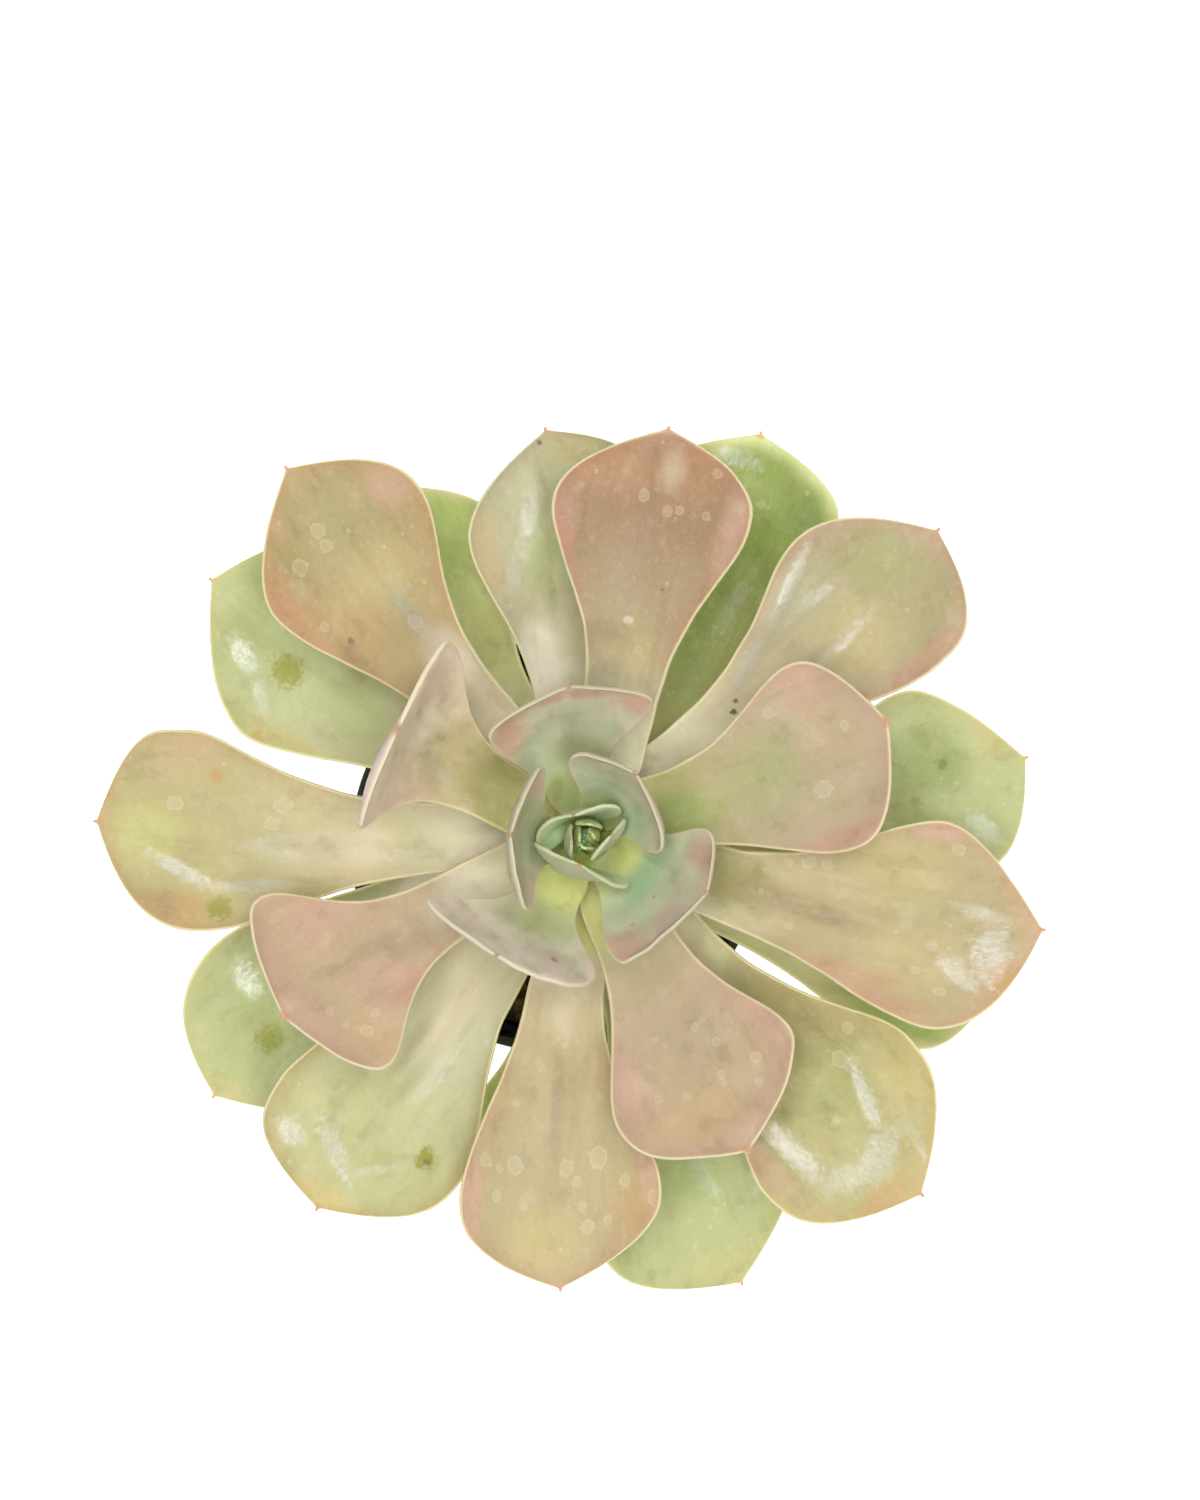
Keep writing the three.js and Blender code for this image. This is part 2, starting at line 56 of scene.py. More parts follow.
# Pot
POT_HEIGHT = 75
RIM_RADIUS = 45
RIM_DEPTH = 8
RIM_STEP = 1.6
LIP_WIDTH = 2.2
LIP_HEIGHT = 1.4
SHOULDER_RADIUS = 42.2
FOOT_RADIUS = 31
POT_WALL = 1.2
FLOOR_THICKNESS = 1.6
LIP_UNDERCUT = 0.9
LIP_ROUNDING = 0.5
POT_SIDES = 144
CREASE_ANGLE = 32
DRAIN_COUNT = 8
DRAIN_WIDTH = 6
DRAIN_HEIGHT = 4
DRAIN_REACH = 4.5

# Soil: a bed with a rough top, calm by the wall, and loose pieces on it
SOIL_TOP = 65
SOIL_GAP = 0.3
SOIL_FLAT_ALLOWANCE = 0.2
SOIL_FOOT_CHAMFER = 1.2
SOIL_MOUND = 0.6
SOIL_ROUGHNESS = 0.42
SOIL_WAVES = 22
SOIL_WAVE_LENGTHS = (3, 16)
SOIL_CALM_BAND = 2.5
SOIL_RINGS = 60
SOIL_SIDES = 180
SOIL_SEED = 7
LUMP_WALL_GAP = 1.2
LUMP_STEM_GAP = 0.4
LUMP_UNEVENNESS = 0.22
LUMP_RISE = 0.35

# Stem
STEM_X = 6.8
STEM_Y = 2.8
STEM_RADIUS = 7.2
STEM_NECK_HEIGHT = 95
STEM_TOP_HEIGHT = 111
STEM_TOP_RADIUS = 1.6
SEAT_GAP = 0.3
STEM_GRID = (150, 96)
STEM_FOOT_DEPTH = 3
STEM_BARK_ALLOWANCE = 0.35

# Scars of the leaves that the stem has shed
SCAR_AGES = range(31, 62)
SCAR_HALF_WIDTH = 5.2
SCAR_HALF_HEIGHT = 0.8
SCAR_DEPTH = 0.5
SCARS_END = 70

# Leaf arrangement
TURN_STEP = 137.5
FIRST_ANGLE = 85.5
NEWEST_LEAF_HEIGHT = 110
LEAF_SPACING = 1.05

# Leaf body
FULL_THICKNESS = 4.2
MARGIN_THICKNESS = 0.8
LEAST_THICKNESS = 0.65
BUD_THICKNESS = 1.2
THICKNESS_STEP = 0.3
YOUNGEST_THICKNESS = 0.8
BELLY_ROUNDNESS = 0.7
TIP_POINT_WIDTH = 1.8
TIP_POINT_SHARE = 0.12
TIP_POINT_BLUNTNESS = 0.25
BLADE_END = 0.975
WAIST_HALF_WIDTH = 5.8
SEAT_NARROWING = 0.72
SEAT_SHARE = 0.14
UNCURL_START = 0.3
LEAST_CURL = 0.01
BUD_RADIUS = 2.2
BUD_CORE_HEIGHT = 4
THICKNESS_ALONG = ((0, 0.12, 0.3, 0.5, 0.8, 0.93, 1), (0.55, 0.75, 0.95, 1, 0.68, 0.36, 0.16))

# The oldest leaf of the heart and of the inner leaves
HEART_LEAVES = 4
INNER_LEAVES = 9

# Rows and columns of a leaf's skin, crowded towards the tip and the margins
LEAF_GRID = (100, 53)
HEART_GRID = (40, 33)
BUD_GRID = (30, 21)
ROW_CROWDING = 1.35
COLUMN_CROWDING = 1.8
MIDRIB_POINTS = 801
LEAF_SEED = 100

# Unevenness of a grown leaf's skin; a shorter leaf has less
GROWN_LENGTH = 70
LEAST_SIZE = 0.25
SWELL_WAVES = 6
SWELL_LENGTHS = (11, 26)
SWELL_HEIGHT = 0.5
MARGIN_WAVE_REACH = 3.5
MARGIN_WAVE_LENGTH = 0.7
GROOVE_DEPTH = 0.55
GROOVE_HALF_WIDTH = 2.2
GROOVE_LEAST_BODY = 0.3
TIP_OVERHANG = 0.3
TIP_ROUNDING = 0.35


def side(wide, at, blunt, flare, curl=30, tip_curl=0.55):
    """One half of a leaf, left or right of its midrib: its greatest width and the
    share of the length where it lies, how blunt it ends and how late it widens,
    and how far it curls up in degrees, in the middle and as a share at the tip."""
    return {"wide": wide, "at": at, "blunt": blunt, "flare": flare, "curl": curl, "tip_curl": tip_curl}


def leaf(age, aim, reach, rise, lift, belly, left, right, bow=0, skew=0, waist=WAIST_HALF_WIDTH, seat=None):
    """A leaf by its age, counted from the middle outwards. The tip lies in the
    direction aim, at reach from the stem's axis and rise above the seat. The
    midrib bends through a point at belly from the axis, lift above the seat and
    bow to one side. Skew turns the blade about the midrib's direction."""
    seat = NEWEST_LEAF_HEIGHT - LEAF_SPACING * age if seat is None else seat
    return {"age": age, "aim": aim, "reach": reach, "rise": rise, "lift": lift, "belly": belly, "bow": bow,
            "skew": skew, "waist": waist, "seat": seat, "left": left, "right": right}


LEAVES = [
    leaf(1, 180, 2.9, 12, 6, 4.6, side(3.6, 0.62, 2, 2, 20), side(3.8, 0.62, 2, 2, 20), waist=2),
    leaf(2, 10, 4.8, 13, 4, 6.4, side(4.6, 0.7, 3, 1.6, 40, 1),
         side(6.2, 0.7, 2.6, 2.2, -30, 1), skew=-66, bow=-2.6, waist=2.2),
    leaf(3, 122, 5.2, 13, 2.6, 4.9, side(9.2, 0.64, 3.6, 1.8, 84, -0.2),
         side(9.2, 0.76, 3.2, 2, 36, -0.8), skew=-22, bow=-3, waist=2.8),
    leaf(4, 254, 5.2, 17, 4, 9, side(12.4, 0.72, 3, 1.8, 20, -1.5),
         side(9, 0.78, 3.4, 2.8, 56, 0.1), skew=1, bow=-6, waist=3.4),
    leaf(5, 54, 16.4, 26, 10, 10, side(11.8, 0.76, 2.2, 1.3, 52),
         side(14.2, 0.76, 2.4, 1.3, 54), skew=-9, waist=4.6),
    leaf(6, 176, 15.2, 29, 9, 13.4, side(14.5, 0.77, 2.4, 2, 42),
         side(14.5, 0.77, 2.4, 2, 38), skew=-2, waist=4.6),
    leaf(7, 336, 26.5, 26, 10, 15.5, side(11.6, 0.8, 2.8, 2.2, 38),
         side(20.4, 0.8, 1.7, 1, 44), skew=-8, waist=6.4),
    leaf(8, 97, 31, 29, 12, 21, side(17, 0.79, 2, 1.4, 34),
         side(16.8, 0.84, 2.6, 1.9, 28), skew=5, waist=5.6),
    leaf(9, 232, 29.4, 32, 9, 23.5, side(18, 0.66, 2.6, 2, 12, -1.6),
         side(19, 0.84, 2, 2.2, 12), skew=13, waist=5.6),
    leaf(10, 21.6, 65.3, 32, 13, 38, side(19, 0.79, 2.7, 1.9),
         side(20.8, 0.77, 2.2, 1.6), bow=-3, waist=7.8),
    leaf(11, 149.5, 43.5, 42, 9.5, 44, side(20.4, 0.86, 3, 2.6, 24),
         side(21.2, 0.87, 4.6, 1.9, 22, -0.6), waist=6.4),
    leaf(12, 297.4, 71.2, 32, 13, 42, side(20, 0.75, 2, 2.2),
         side(20.7, 0.77, 2.4, 2), bow=-2, waist=7.8),
    leaf(13, 78.8, 85.4, 29, 18, 46, side(20.9, 0.78, 2.4, 2.2), side(19.4, 0.8, 2.6, 2.5), waist=7),
    leaf(14, 210.4, 71.2, 34, 12.5, 46, side(20.5, 0.83, 2.6, 3),
         side(22.4, 0.87, 3, 3.2), bow=-4, waist=6.6),
    leaf(15, 348.7, 95.7, 26, 24, 51, side(22, 0.76, 1.9, 1.9),
         side(20.3, 0.77, 2, 2.4), bow=-11, waist=7),
    leaf(16, 129.1, 98, 28, 18, 53, side(20, 0.765, 1.7, 2.2),
         side(19.8, 0.79, 2.5, 2.8), bow=5, waist=6.4),
    leaf(17, 266.6, 93.2, 26, 20, 50, side(21.2, 0.77, 2.3, 2.4),
         side(20, 0.8, 2.5, 2), bow=-3.5, waist=7),
    leaf(18, 41.3, 96.4, 26, 22, 52, side(19.4, 0.76, 2.2, 2.3),
         side(19.5, 0.79, 3.3, 2.3), bow=-4, waist=7),
    leaf(19, 178.1, 102, 24, 19, 55, side(20.6, 0.77, 2.6, 2.1),
         side(20.4, 0.82, 3.6, 2.6), bow=3.5, waist=7),
    leaf(20, 313.1, 102, 22, 20, 55, side(21.3, 0.74, 2.3, 2.3), side(22.6, 0.77, 2.6, 2.4), bow=-4),
    leaf(21, 95.9, 85.5, 22, 19, 46, side(17.9, 0.74, 1.7, 2.2), side(18, 0.78, 6, 2.3), bow=2, waist=7),
    leaf(22, 234, 96.5, 19, 17, 52, side(21.7, 0.75, 2.8, 2.2),
         side(21.2, 0.79, 3.7, 2.2), bow=-1, waist=7.6),
    leaf(23, 10.2, 93.8, 17, 14, 50, side(20.6, 0.76, 1.8, 1.8), side(20.2, 0.78, 3, 2.3), bow=-6),
    leaf(24, 145.7, 96, 18, 14, 52, side(21.2, 0.73, 1.7, 1.9), side(20.6, 0.78, 3, 2.3), bow=4, waist=7),
    leaf(25, 289, 100.5, 13, 10, 54, side(20.2, 0.78, 1.6, 2.3), side(24.6, 0.78, 3.3, 2.3), bow=-1),
    leaf(26, 66.7, 92.7, 16, 11, 50, side(21, 0.78, 2, 2.3), side(21.8, 0.78, 3.8, 1.4), bow=-1),
    leaf(27, 215, 97.4, 11, 8, 52, side(20, 0.78, 2.8, 2.3), side(20.2, 0.75, 2.7, 2.1), bow=-9),
    leaf(28, 340, 93, 11, 8, 50, side(19, 0.78, 2.4, 2.3), side(17.4, 0.8, 3, 2.3), bow=-4, waist=7),
    leaf(29, 118.4, 85, 10, 8, 46, side(18, 0.78, 2.4, 2.3), side(15.5, 0.78, 2, 2.7), bow=3, waist=3.8),
    leaf(30, 262, 74, 9, 7, 41, side(13, 0.78, 2.4, 2.3), side(13, 0.78, 2.8, 4), bow=-2, waist=3.8),
]

BUD_LEAVES = [
    leaf(0, 80, 2.6, 9.4, 5, 3.4, side(2.6, 0.6, 2, 1.6, 40),
         side(2.6, 0.6, 2, 1.6, 40), waist=1.6, seat=112),
    leaf(-1, 240, 1.8, 8, 4.4, 1.4, side(1.5, 0.6, 2, 1.6, 40),
         side(2.3, 0.6, 2, 1.6, 40), waist=1.1, seat=112.8),
    leaf(-2, 175, 1.2, 7.8, 4, 2.6, side(2, 0.55, 2, 1.6, 40),
         side(2, 0.55, 2, 1.6, 40), waist=1.3, seat=112.6),
    leaf(-3, 30, 0.9, 6.6, 4, 2.2, side(1.6, 0.55, 2, 1.6, 40),
         side(1.6, 0.55, 2, 1.6, 40), waist=1.2, seat=112.8),
]

# Water between the youngest leaves: (x, y, height, radius) in mm from the stem's axis
DROP_FLATNESS = 0.7
BUD_DROPS = [
    (0.6, 1.5, 117.6, 0.7), (-0.9, -0.6, 117.2, 0.9), (-1.6, -2.2, 116.6, 0.6), (0.2, -1.7, 117, 0.7),
    (1.4, 0.3, 117, 0.6), (-0.6, 0.7, 117.5, 0.5), (-2.2, -0.8, 116.6, 0.5),
]


# Leaf shape

def blend(a, b, x):
    return a + (b - a) * x


def ease(x):
    x = np.clip(x, 0, 1)
    return x * x * (3 - 2 * x)


def direction(angle):
    a = math.radians(angle)
    return np.array([math.cos(a), math.sin(a), 0.0])


def from_stem(angle, distance, height):
    return np.array([STEM_X, STEM_Y, height]) + distance * direction(angle)


def stem_radius(height):
    x = np.clip((height - STEM_NECK_HEIGHT) / (STEM_TOP_HEIGHT - STEM_NECK_HEIGHT), 0, 1)
    return blend(STEM_RADIUS, STEM_TOP_RADIUS, x)


def half_width(t, half, waist):
    flare = ease(np.clip(t / half["at"], 0, 1) ** half["flare"])
    seat = blend(SEAT_NARROWING, 1, ease(t / SEAT_SHARE))
    lower = seat * blend(waist, half["wide"], flare)
    x = np.clip((t - half["at"]) / (1 - half["at"]), 0, 1)
    blade = half["wide"] * (1 - np.clip(x / BLADE_END, 0, 1) ** half["blunt"])
    point = TIP_POINT_WIDTH / 2 * np.clip((1 - x) / TIP_POINT_SHARE, TIP_POINT_BLUNTNESS, 1)
    return np.where(t < half["at"], lower, np.maximum(blade, point))


def curl_at(t, half):
    x = np.clip((t - UNCURL_START) / (1 - UNCURL_START), 0, 1)
    curl = math.radians(half["curl"]) * blend(1, half["tip_curl"], x * x)
    return np.where(np.abs(curl) < LEAST_CURL, LEAST_CURL, curl)


def midrib(shape, t):
    """Points, unit tangents and unit sideways directions of the midrib at the
    shares t of its length, and that length."""
    seat_height = shape["seat"]
    seat_angle = FIRST_ANGLE + TURN_STEP * shape["age"]
    turn = (seat_angle - shape["aim"] + 540) % 360 - 180
    across = direction(shape["aim"] + shape["skew"] + 90)
    start = from_stem(seat_angle, stem_radius(seat_height) + SEAT_GAP, seat_height)
    control = from_stem(shape["aim"] + turn / 2, shape["belly"], seat_height + shape["lift"])
    control = control + shape["bow"] * across
    tip = from_stem(shape["aim"], shape["reach"], seat_height + shape["rise"])
    place = np.linspace(0, 1, MIDRIB_POINTS)

    def bezier(b):
        b = b[:, None]
        return (1 - b) ** 2 * start + 2 * b * (1 - b) * control + b ** 2 * tip

    curve = bezier(place)
    travelled = np.concatenate([[0], np.cumsum(np.linalg.norm(np.diff(curve, axis=0), axis=1))])
    length = travelled[-1]
    b = np.interp(t, travelled / length, place)
    along = 2 * (1 - b)[:, None] * (control - start) + 2 * b[:, None] * (tip - control)
    along /= np.linalg.norm(along, axis=1)[:, None]
    sideways = across - (along @ across)[:, None] * along
    sideways /= np.linalg.norm(sideways, axis=1)[:, None]
    return bezier(b), along, sideways, length


def leaf_rows(count):
    """Shares of the length, closer together towards the tip."""
    x = np.linspace(0, 1, count)
    return 1 - (1 - x) ** ROW_CROWDING


def leaf_columns(count):
    """Places across the leaf from -1 to 1, closer together at the margins."""
    x = np.linspace(-1, 1, count)
    return np.sign(x) * (1 - (1 - np.abs(x)) ** COLUMN_CROWDING)


def swell(rng, across, along, size):
    """A soft unevenness from -1 to 1, made of a few long waves."""
    total = np.zeros_like(across)
    for _ in range(SWELL_WAVES):
        angle = rng.uniform(0, math.tau)
        wave = rng.uniform(*SWELL_LENGTHS) * size
        phase = rng.uniform(0, math.tau)
        total += np.sin((across * math.cos(angle) + along * math.sin(angle)) * math.tau / wave + phase)
    return total / SWELL_WAVES


def margin_gap(across, along, most):
    """Distance to the margin in the flattened leaf, at most the given one."""
    rim = np.concatenate([np.stack([across[:, 0], along[:, 0]], 1)[2:],
                          np.stack([across[:, -1], along[:, -1]], 1)[2:]])
    flat = np.stack([across, along], -1).reshape(-1, 2)
    gap = np.linalg.norm(flat[:, None] - rim[None], axis=2).min(1).reshape(across.shape)
    return np.minimum(gap, most)


def unevenness(age, across, along, gap, size):
    """Swells of the whole leaf and shorter waves by its margin, in mm."""
    rng = np.random.default_rng(LEAF_SEED + age)
    swells = SWELL_HEIGHT * size * swell(rng, across, along, size)
    by_margin = np.exp(-gap / (MARGIN_WAVE_REACH * size))
    return swells + SWELL_HEIGHT * size * by_margin * swell(rng, across, along, MARGIN_WAVE_LENGTH * size)


def folds(age, across, along):
    """Height of a leaf's folds and dents, in mm."""
    total = np.zeros_like(across)
    for x0, y0, x1, y1, wide, high in FOLDS.get(age, ()):
        run = np.array([x1 - x0, y1 - y0])
        place = ((across - x0) * run[0] + (along - y0) * run[1]) / (run @ run)
        beside = ((across - x0) * run[1] - (along - y0) * run[0]) / np.linalg.norm(run)
        beyond = (np.abs(place - 0.5) * 2).clip(0, 2)
        total += high * np.exp(-(beside / wide) ** 2) * (1 - ease((beyond - 0.5) / 1.1))
    return total


def leaf_grid(shape, rows, columns):
    """Upper and lower points of a leaf in mm, and its leaf coordinates."""
    t = leaf_rows(rows)
    u = leaf_columns(columns)
    thick = BUD_THICKNESS + THICKNESS_STEP * shape["age"]
    thick = float(np.clip(thick, YOUNGEST_THICKNESS, FULL_THICKNESS))
    centre, along, sideways, length = midrib(shape, t)
    face = np.cross(along, sideways)
    body = np.maximum(LEAST_THICKNESS, thick * np.interp(t, *THICKNESS_ALONG))
    edge = np.minimum(MARGIN_THICKNESS, body)
    grid = (rows, columns)
    bend = np.zeros(grid)
    radius = np.zeros(grid)
    across = np.zeros(grid)
    width = np.zeros(grid)
    for half, where in ((shape["left"], u > 0), (shape["right"], u <= 0)):
        w = half_width(t, half, shape["waist"])[:, None]
        curl = curl_at(t, half)[:, None]
        radius[:, where] = w / np.sin(curl)
        bend[:, where] = curl * u[where]
        across[:, where] = w / np.sin(curl) * curl * u[where]
        width[:, where] = w
    along_mm = np.repeat((t * length)[:, None], columns, axis=1)

    gap = margin_gap(across, along_mm, np.abs(width) * (1 - np.abs(u)))
    size = float(np.clip(length / GROWN_LENGTH, LEAST_SIZE, 1))
    fade = ease(t / 0.2)[:, None] * (1 - ease((t - 0.9) / 0.1))[:, None]
    lift = unevenness(shape["age"], across, along_mm, gap, size)
    lift = (lift + folds(shape["age"], across, along_mm)) * fade
    groove_run = (ease(t / 0.1) * (1 - ease((t - 0.55) / 0.4)))[:, None]
    groove = GROOVE_DEPTH * size * np.exp(-(across / (GROOVE_HALF_WIDTH * size)) ** 2) * groove_run

    up = face[:, None] * np.cos(bend)[..., None] - sideways[:, None] * np.sin(bend)[..., None]
    top = centre[:, None] + sideways[:, None] * (radius * np.sin(bend))[..., None]
    top = top + face[:, None] * (radius * (1 - np.cos(bend)))[..., None]
    depth = edge[:, None] + (body - edge)[:, None] * (1 - u ** 2)[None] ** BELLY_ROUNDNESS

    # the margin is rounded over half its thickness
    bevel = 0.5 * edge[:, None]
    near = np.clip(gap / np.maximum(bevel, 0.05), 0, 1)
    round_off = bevel * (1 - np.sqrt(1 - (1 - near) ** 2))
    deep_enough = depth - 2 * bevel > GROOVE_LEAST_BODY
    upper = top + up * (lift - groove * deep_enough - round_off)[..., None]
    lower = top + up * (lift - depth + round_off)[..., None]

    # the base stands all round at the same gap from the stem
    for row in (upper[0], lower[0]):
        offset = row[:, :2] - (STEM_X, STEM_Y)
        stretch = (stem_radius(row[:, 2]) + SEAT_GAP) / np.hypot(offset[:, 0], offset[:, 1])
        row[:, :2] = (STEM_X, STEM_Y) + offset * stretch[:, None]
    tip = np.hypot(across, along_mm - length)
    return {"upper": upper, "lower": lower, "across": across, "along": along_mm, "gap": gap, "tip": tip,
            "share": np.repeat(t[:, None], columns, axis=1), "length": length}


def leaf_mesh(name, shapes, rows, columns):
    """One mesh of one or more leaves, each a closed skin with leaf attributes."""
    points, faces, places, gaps, shares, backs, tips = [], [], [], [], [], [], []
    base = 0
    for shape in shapes:
        grid = leaf_grid(shape, rows, columns)
        ring = 2 * columns - 2
        loop = [(grid["upper"], j, 0.0) for j in range(columns)]
        loop += [(grid["lower"], j, 1.0) for j in range(columns - 2, 0, -1)]
        for i in range(rows):
            for skin, j, back in loop:
                seam = j in (0, columns - 1)
                point = (grid["upper"][i, j] + grid["lower"][i, j]) / 2 if seam else skin[i, j]
                points.append(point)
                places.append((grid["across"][i, j], grid["along"][i, j], shape["age"]))
                gaps.append(grid["gap"][i, j])
                shares.append(grid["share"][i, j])
                backs.append(0.5 if seam else back)
                tips.append(grid["tip"][i, j])
        for i in range(rows - 1):
            a = base + i * ring
            for k in range(ring):
                n = (k + 1) % ring
                faces.append((a + k, a + ring + k, a + ring + n, a + n))
        faces.append(tuple(base + k for k in range(ring)))
        # the point of the tip
        last = base + (rows - 1) * ring
        tip = np.mean(points[last:last + ring], axis=0)
        ahead = tip - np.mean(points[last - ring:last], axis=0)
        points.append(tip + TIP_ROUNDING * ahead / max(np.linalg.norm(ahead), 1e-6))
        places.append((0.0, grid["length"] + TIP_OVERHANG, shape["age"]))
        gaps.append(0.0)
        shares.append(1.0)
        backs.append(0.5)
        tips.append(0.0)
        end = len(points) - 1
        for k in range(ring):
            faces.append((last + k, end, last + (k + 1) % ring))
        base = len(points)
    mesh = bpy.data.meshes.new(name)
    mesh.from_pydata([tuple(p * MM) for p in points], [], faces)
    attribute(mesh, "leaf_place", "FLOAT_VECTOR", places)
    attribute(mesh, "leaf_gap", "FLOAT", gaps)
    attribute(mesh, "leaf_share", "FLOAT", shares)
    attribute(mesh, "leaf_back", "FLOAT", backs)
    attribute(mesh, "leaf_tip", "FLOAT", tips)
    return finish_mesh(name, mesh)


def attribute(mesh, name, kind, values):
    layer = mesh.attributes.new(name, kind, "POINT")
    key = "vector" if kind == "FLOAT_VECTOR" else "value"
    layer.data.foreach_set(key, np.asarray(values, dtype=np.float32).ravel())


def finish_mesh(name, mesh, smooth=True):
    """Turns the faces outwards, smooths them and puts the mesh in the scene."""
    bm = bmesh.new()
    bm.from_mesh(mesh)
    bmesh.ops.recalc_face_normals(bm, faces=bm.faces)
    bm.to_mesh(mesh)
    bm.free()
    for polygon in mesh.polygons:
        polygon.use_smooth = smooth
    obj = bpy.data.objects.new(name, mesh)
    bpy.context.scene.collection.objects.link(obj)
    return obj


# Materials

def srgb(r, g, b):
    """A colour named in 0 to 255 display steps, as the linear colour a shader takes."""
    def linear(c):
        c /= 255
        return c / 12.92 if c <= 0.04045 else ((c + 0.055) / 1.055) ** 2.4
    return (linear(r), linear(g), linear(b), 1.0)


class Graph:
    """Short names for building a node material."""

    def __init__(self, name):
        self.material = bpy.data.materials.new(name)
        self.material.use_nodes = True
        self.tree = self.material.node_tree
        self.shader = self.tree.nodes["Principled BSDF"]

    def node(self, kind, **settings):
        made = self.tree.nodes.new(kind)
        for key, value in settings.items():
            setattr(made, key, value)
        return made

    def feed(self, socket, value):
        if isinstance(value, bpy.types.NodeSocket):
            self.tree.links.new(value, socket)
        else:
            socket.default_value = value

    def math(self, operation, a, b=0.0):
        made = self.node("ShaderNodeMath", operation=operation)
        self.feed(made.inputs[0], a)
        self.feed(made.inputs[1], b)
        return made.outputs[0]

    def times(self, a, b):
        return self.math("MULTIPLY", a, b)

    def plus(self, a, b):
        return self.math("ADD", a, b)

    def less(self, a, b):
        return self.math("SUBTRACT", a, b)

    def most(self, a, b):
        return self.math("MAXIMUM", a, b)

    def sway(self, pattern, size):
        """A pattern's swing about its middle, scaled to the given size."""
        return self.times(self.less(pattern, 0.5), size)

    def step(self, value, low, high, out_low=0.0, out_high=1.0):
        """A smooth step from out_low to out_high as the value goes from low to high."""
        made = self.node("ShaderNodeMapRange", interpolation_type="SMOOTHSTEP")
        self.feed(made.inputs[0], value)
        for index, number in enumerate((low, high, out_low, out_high), 1):
            made.inputs[index].default_value = number
        return made.outputs[0]

    def mix(self, a, b, factor, kind="MIX"):
        made = self.node("ShaderNodeMix", data_type="RGBA", blend_type=kind)
        self.feed(made.inputs[0], factor)
        self.feed(made.inputs[6], a)
        self.feed(made.inputs[7], b)
        return made.outputs[2]

    def attribute(self, name, output="Fac"):
        return self.node("ShaderNodeAttribute", attribute_name=name).outputs[output]

    def object_place(self):
        return self.node("ShaderNodeTexCoord").outputs["Object"]

    def scaled(self, vector, scale, offset=(0.0, 0.0, 0.0)):
        made = self.node("ShaderNodeMapping")
        self.feed(made.inputs["Vector"], vector)
        made.inputs["Scale"].default_value = scale
        made.inputs["Location"].default_value = offset
        return made.outputs[0]

    def framed(self, vector, middle, turn, half_size):
        """Places in a turned frame, in which the given half sizes measure 1."""
        made = self.node("ShaderNodeMapping", vector_type="TEXTURE")
        self.feed(made.inputs["Vector"], vector)
        made.inputs["Location"].default_value = middle
        made.inputs["Rotation"].default_value = (0.0, 0.0, turn)
        made.inputs["Scale"].default_value = half_size
        return made.outputs[0]

    def noise(self, vector, scale, detail=2.0, roughness=0.5):
        made = self.node("ShaderNodeTexNoise")
        self.feed(made.inputs["Vector"], vector)
        made.inputs["Scale"].default_value = scale
        made.inputs["Detail"].default_value = detail
        made.inputs["Roughness"].default_value = roughness
        return made.outputs[0]

    def length(self, vector):
        made = self.node("ShaderNodeVectorMath", operation="LENGTH")
        self.feed(made.inputs[0], vector)
        return made.outputs["Value"]

    def cells(self, vector, scale):
        made = self.node("ShaderNodeTexVoronoi", voronoi_dimensions="2D")
        self.feed(made.inputs["Vector"], vector)
        made.inputs["Scale"].default_value = scale
        return made.outputs["Distance"], made.outputs["Color"]

    def split(self, vector):
        made = self.node("ShaderNodeSeparateXYZ")
        self.feed(made.inputs[0], vector)
        return made.outputs

    def bump(self, height, strength, distance):
        made = self.node("ShaderNodeBump")
        made.inputs["Strength"].default_value = strength
        made.inputs["Distance"].default_value = distance
        self.feed(made.inputs["Height"], height)
        return made.outputs[0]

    def set(self, **values):
        for key, value in values.items():
            self.feed(self.shader.inputs[key.replace("_", " ")], value)
        return self.material


CREAM = srgb(232, 222, 178)
POINT = srgb(206, 158, 124)
PALE_POINT = srgb(206, 178, 120)
CHALK = srgb(234, 228, 208)
BLOT = srgb(150, 150, 48)
SPECK = srgb(92, 84, 52)
LILAC_BACK = srgb(214, 196, 192)
SAGE_BACK = srgb(190, 192, 164)
SAGE_EDGE = srgb(206, 210, 170)
GREEN_BACK = srgb(184, 194, 136)

MOTTLE_DEEP = srgb(206, 196, 160)
MOTTLE_LIGHT = srgb(238, 230, 200)
POWDER = srgb(206, 212, 196)
DRIED_DROP = srgb(240, 232, 206)
# A painted highlight, laid over the glossy streaks
PAINTED_HIGHLIGHT = srgb(222, 224, 222)
BACK_STREAK = srgb(156, 146, 116)

# Soft patches of colour on the leaves
ROSE = srgb(208, 152, 132)
PINK = srgb(214, 174, 152)
LILAC = srgb(196, 168, 156)
ORANGE = srgb(200, 150, 108)
TAN = srgb(206, 178, 134)
UMBER = srgb(166, 140, 110)
OCHRE = srgb(200, 162, 104)
GOLD = srgb(208, 190, 124)
BEIGE = srgb(226, 212, 178)
# Paint for leaf bases that lie in shade: partly their own pale colour, partly painted light
PALE_PAINTED_LIGHT = srgb(248, 242, 224)
GREY = srgb(176, 180, 152)
OLIVE = srgb(166, 160, 96)
MOSS = srgb(122, 140, 66)
GREEN = srgb(164, 180, 104)
LIME = srgb(224, 230, 136)
MINT = srgb(166, 200, 156)
JADE = srgb(140, 176, 132)
